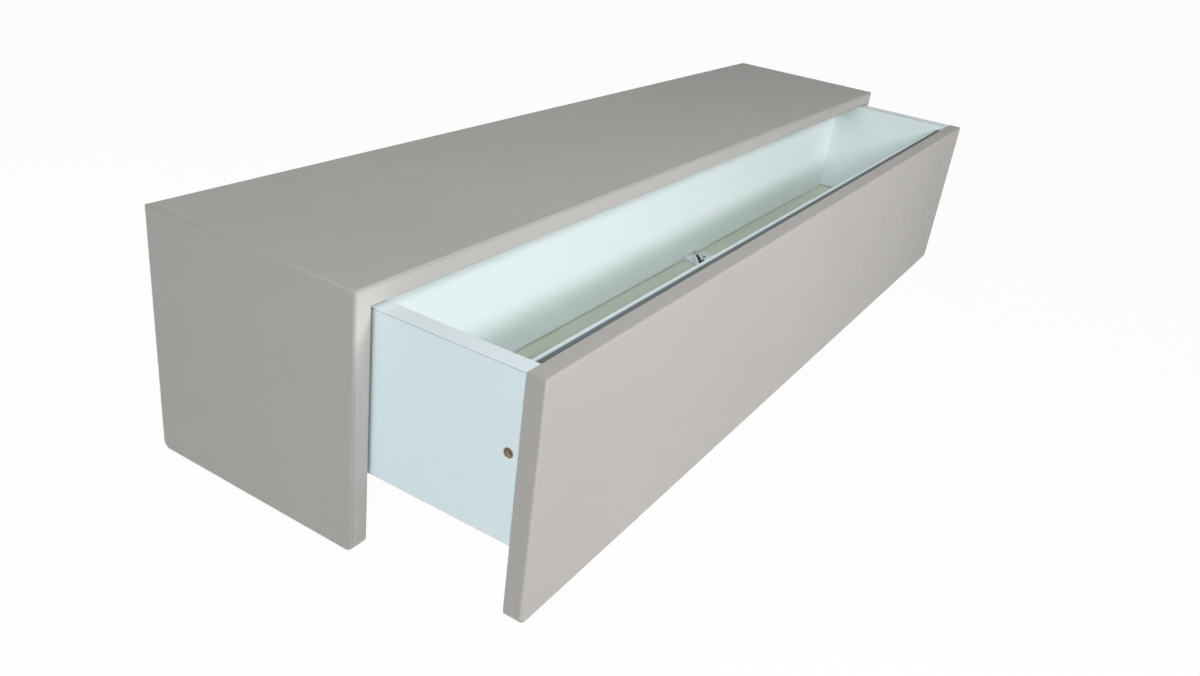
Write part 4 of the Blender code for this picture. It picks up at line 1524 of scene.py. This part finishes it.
@dataclass
class Bracket:
    """The low bracket that ties the drawer's floor to its back.

    Its plan is in metres: pairs of the distance from the plate's left end and from the drawer's back.

    Attributes:
        hardware: what makes its screws.
        cast: the thickness of the plate and of its flange.
        inset: how far the flange stands in from the plate's sides.
        arris: the radius of its edges.
        rib_drop: how far the rib between plate and flange ends below the flange's top and before it.
        rib_foot: how far the rib ends before the plate's front edge.
        bar_height: the height of the slanting bars above the plate's underside.
        bar_width: their width.
        pad: the height of the pad of painted shade and of the dark washer above the plate.
        washer: the washer's radius.
        plate: the plate's outline, cut off at a slant on its right.
        flange: the flange's length from the plate's left end.
        bars: the two ends of each slanting bar.
        dark: the outline of the pad of painted shade between the bars.
        span: the bracket's box.
    """

    hardware: Hardware
    cast: float = 1.5 * MM
    inset: float = 0.1 * MM
    arris: float = 0.3 * MM
    rib_drop: float = 1 * MM
    rib_foot: float = 2 * MM
    bar_height: float = 5 * MM
    bar_width: float = 4.5 * MM
    pad: float = 0.2 * MM
    washer: float = 5.2 * MM
    plate: tuple[tuple[float, float], ...] = (
        (0, 0), (46 * MM, 0), (62 * MM, 14 * MM), (62 * MM, 34 * MM), (0, 34 * MM))
    flange: float = 46 * MM
    bars: tuple[tuple[tuple[float, float], tuple[float, float]], ...] = (
        ((4 * MM, 26 * MM), (32 * MM, 5 * MM)), ((23 * MM, 25 * MM), (43 * MM, 9 * MM)))
    dark: tuple[tuple[float, float], ...] = (
        (5 * MM, 31 * MM), (24 * MM, 31 * MM), (46 * MM, 9 * MM), (36 * MM, 3 * MM))
    span: Span = field(default_factory=lambda: Span.of("floor_bracket"))

    FINISHES = (CAST_ZINC, PAINTED_SHADE_AND_RING)

    def slab(self, name: str, plan: Sequence[Sequence[float]], base: float, top: float,
             layer: Layer = Layer.FACE) -> bpy.types.Object:
        """Make a flat piece from a plan.

        Args:
            name: the object's name.
            plan: its outline in the bracket's own plan.
            base: its underside, above the plate's.
            top: its upper side, above the plate's underside.
            layer: which of the bracket's finishes it takes.

        Returns:
            The object.
        """
        low, high = self.span.low, self.span.high
        outline = [(low.x + along, high.y - away) for along, away in plan]
        solid = Solid().prism(outline, Axis.Z, low.z + base, low.z + top)
        if layer is Layer.FACE:
            solid.ease_all(self.arris, Steps.HAIRLINE)
        return solid.paint(layer).piece(name, self.FINISHES)

    def bar_plan(self, start: tuple[float, float], end: tuple[float, float]) -> list[Vector]:
        """Work out the outline of a slanting bar.

        Args:
            start: the middle of its first end, in the bracket's own plan.
            end: the middle of its second end.

        Returns:
            The outline's corners.
        """
        first, second = Vector(start), Vector(end)
        way = (second - first).normalized()
        side = Vector((-way.y, way.x)) * self.bar_width / 2
        return [first - side, second - side, second + side, first + side]

    def build(self) -> None:
        """Make the bracket and its two screws."""
        low, high = self.span.low, self.span.high
        sunk = self.cast / 2
        piece = self.slab("bracket", self.plate, 0.0, self.cast)
        flange = [(self.inset, self.inset), (self.flange - self.inset, self.inset),
                  (self.flange - self.inset, self.cast), (self.inset, self.cast)]
        guides = [self.slab("flange", flange, sunk, high.z - low.z)]
        crest, inside = high.z - self.rib_drop, high.y - self.cast / 2
        outline = [(high.y - self.cast - self.rib_drop, crest), (inside, crest), (inside, low.z + sunk),
                   (low.y + self.rib_foot, low.z + sunk)]
        rib = Solid().prism(outline, Axis.X, low.x + self.inset, low.x + self.cast)
        guides.append(rib.piece("rib", self.FINISHES))
        guides += [self.slab(f"bar_{number}", self.bar_plan(*ends), sunk, self.bar_height)
                   for number, ends in enumerate(self.bars)]
        # The pad is painted shade: a near-black sheet where the pocket between the bars lies in shadow.
        guides.append(self.slab("pad", self.dark, sunk, self.cast + self.pad, Layer.EDGE))
        screw = Span.of("bracket_floor_screw").middle
        washer = Solid().rod(Vector((screw.x, screw.y, low.z + sunk)), Vector((0, 0, 1)),
                             self.cast + self.pad / 2 - sunk, self.washer)
        guides.append(washer.paint(Layer.EDGE).piece("washer", self.FINISHES))
        carve(piece, guides, Operation.JOIN)
        hand_over(piece, Body.DRAWER, ["floor_bracket"])
        self.hardware.set_screws("bracket_screws", Body.DRAWER, Hardware.BRACKET_SCREW, {
            "bracket_floor_screw": Vector((0, 0, -1)), "bracket_back_screw": Vector((0, 1, 0))})


@dataclass(frozen=True)
class SoftLamp:
    """A rectangular soft lamp that faces a point of the sideboard.

    Attributes:
        name: the lamp's name.
        azimuth: its direction from the point, in degrees from straight ahead towards +X.
        elevation: its height in degrees.
        distance: how far it stands from the point.
        width: its width.
        height: its height.
        power: its power in watts.
        turn: how far it is turned to its left, away from the point, in degrees.
        colour: its sRGB colour.
    """

    name: str
    azimuth: float
    elevation: float
    distance: float
    width: float
    height: float
    power: float
    turn: float = 0.0
    colour: str = WHITE

    def hang(self, aim: Vector) -> None:
        """Hang the lamp where it lights a point.

        Args:
            aim: the point.
        """
        data = bpy.data.lights.new(self.name, "AREA")
        data.shape = "RECTANGLE"
        data.size, data.size_y = self.width, self.height
        data.energy = self.power
        data.color = linear(self.colour)[:3]
        lamp = add_object(self.name, data)
        way = bearing(self.azimuth, self.elevation)
        lamp.location = aim + way * self.distance
        facing = Matrix.Rotation(math.radians(self.turn), 3, "Z") @ -way
        lamp.rotation_euler = facing.to_track_quat("-Z", "Y").to_euler()


def background_rays(tree: bpy.types.NodeTree) -> bpy.types.NodeSocket:
    """Tell the rays that show the background from those that light the object.

    Args:
        tree: the nodes of a material or of the surroundings.

    Returns:
        1 for a ray that comes straight, mirrored or through glass, otherwise 0.
    """
    paths = add_node(tree, "ShaderNodeLightPath").outputs
    mirrored = add_node(tree, "ShaderNodeMath", {"operation": "MAXIMUM"}, {
        0: paths["Is Camera Ray"], 1: paths["Is Glossy Ray"]})
    return add_node(tree, "ShaderNodeMath", {"operation": "MAXIMUM"}, {
        0: mirrored.outputs[0], 1: paths["Is Transmission Ray"]}).outputs[0]


@dataclass
class Studio:
    """The pale floor, the soft lamps, the white surroundings and the camera.

    Attributes:
        floor_drop: how far below the case the floor lies.
        floor_size: the floor's side.
        floor_colour: the colour of its own shading.
        floor_roughness: the roughness of that shading.
        floor_shadow: the share of that shading that shows.
        ambient: the surroundings' strength on the object.
        aim: the point that the lamps face.
        lamps: three strips in front, a large box to the left, a weak one above and one behind.
        camera_place: where the camera stands.
        camera_azimuth: the direction that it looks from, in degrees.
        camera_elevation: its height in degrees.
        camera_roll: its tilt about its own axis in degrees.
        camera_lens: its focal length in millimetres.
        camera_sensor: the width of its sensor in millimetres.
        camera_near: the distance at which its view begins.
    """

    floor_drop: float = 0.45
    floor_size: float = 40.0
    floor_colour: str = "F2F2F2"
    floor_roughness: float = 0.9
    floor_shadow: float = 0.03
    ambient: float = 0.02
    aim: Vector = field(default_factory=lambda: Vector((-0.5, -0.35, -0.05)))
    lamps: tuple[SoftLamp, ...] = (
        SoftLamp("front_strip", 11, 30, 2.6, 0.8, 0.35, 43.0, turn=26),
        SoftLamp("high_strip", -5, 42, 2.6, 0.8, 0.35, 19.0, turn=5),
        SoftLamp("left_strip", -45, 30, 2.6, 0.8, 0.35, 11.5),
        SoftLamp("left_box", -89, 17, 2.6, 1.2, 0.9, 25.3, colour="FAFCFF"),
        SoftLamp("top_box", -35, 78, 2.6, 1.2, 1.2, 5.5),
        SoftLamp("back_box", 180, 14, 2.6, 1.8, 0.7, 12.0))
    camera_place: Vector = field(default_factory=lambda: Vector((-1.3605, -0.8947, 0.4465)))
    camera_azimuth: float = -61.2
    camera_elevation: float = 25.95
    camera_roll: float = -7.68
    camera_lens: float = 29.9
    camera_sensor: float = 36.0
    camera_near: float = 0.01

    def build(self) -> None:
        """Make the whole studio."""
        self.build_floor()
        self.build_world()
        self.build_lamps()
        self.build_camera()
        bpy.context.scene.view_settings.view_transform = "Standard"

    def build_floor(self) -> None:
        """Make the floor, which looks white and keeps a faint shadow."""
        half = self.floor_size / 2
        level = Span.of("left_end_panel").low.z - self.floor_drop
        mesh = bpy.data.meshes.new("studio_floor")
        corners = [(-half, -half, level), (half, -half, level), (half, half, level), (-half, half, level)]
        mesh.from_pydata(corners, [], [(0, 1, 2, 3)])
        material = bpy.data.materials.new("white studio floor")
        material.use_nodes = True
        tree = material.node_tree
        shader = tree.nodes["Principled BSDF"]
        fill(tree, shader, {"Base Color": linear(self.floor_colour), "Roughness": self.floor_roughness})
        share = add_node(tree, "ShaderNodeMath", {"operation": "MULTIPLY"}, {
            0: background_rays(tree), 1: 1 - self.floor_shadow})
        white = add_node(tree, "ShaderNodeEmission", sockets={"Color": linear(WHITE), "Strength": 1.0})
        mix = add_node(tree, "ShaderNodeMixShader", sockets={
            "Fac": share.outputs[0], 1: shader.outputs["BSDF"], 2: white.outputs["Emission"]})
        fill(tree, tree.nodes["Material Output"], {"Surface": mix.outputs["Shader"]})
        mesh.materials.append(material)
        floor = add_object("studio_floor", mesh)

    def build_world(self) -> None:
        """Make the surroundings: white to the eye, dimmer as light."""
        world = bpy.data.worlds.new("studio")
        world.use_nodes = True
        bpy.context.scene.world = world
        tree = world.node_tree
        tree.nodes.clear()
        light = add_node(tree, "ShaderNodeBackground", sockets={
            "Color": linear(WHITE), "Strength": self.ambient})
        white = add_node(tree, "ShaderNodeBackground", sockets={"Color": linear(WHITE), "Strength": 1.0})
        mix = add_node(tree, "ShaderNodeMixShader", sockets={
            "Fac": background_rays(tree), 1: light.outputs["Background"], 2: white.outputs["Background"]})
        add_node(tree, "ShaderNodeOutputWorld", sockets={"Surface": mix.outputs["Shader"]})

    def build_lamps(self) -> None:
        """Hang the lamps."""
        for lamp in self.lamps:
            lamp.hang(self.aim)

    def build_camera(self) -> None:
        """Place the camera where the photograph was taken."""
        back = bearing(self.camera_azimuth, self.camera_elevation)
        roll = math.radians(self.camera_roll)
        level = (-back).cross(Vector((0, 0, 1))).normalized()
        rise = level.cross(-back)
        right = level * math.cos(roll) - rise * math.sin(roll)
        up = back.cross(right)
        data = bpy.data.cameras.new("camera")
        data.sensor_fit = "HORIZONTAL"
        data.sensor_width = self.camera_sensor
        data.lens = self.camera_lens
        data.clip_start = self.camera_near
        camera = add_object("camera", data)
        turn = Matrix((right, up, back)).transposed()
        camera.matrix_world = Matrix.Translation(self.camera_place) @ turn.to_4x4()
        bpy.context.scene.camera = camera


def main() -> None:
    """Build the sideboard and the studio, and log each piece and assembly as it is made."""
    logging.basicConfig(level=logging.INFO, format="%(name)s: %(message)s")
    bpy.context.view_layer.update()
    hardware = Hardware()
    for assembly in (Studio(), Case(hardware), Runners(hardware), Drawer(hardware), Bracket(hardware)):
        assembly.build()
        LOG.info("built: %s", type(assembly).__name__)


if __name__ == "__main__":
    main()
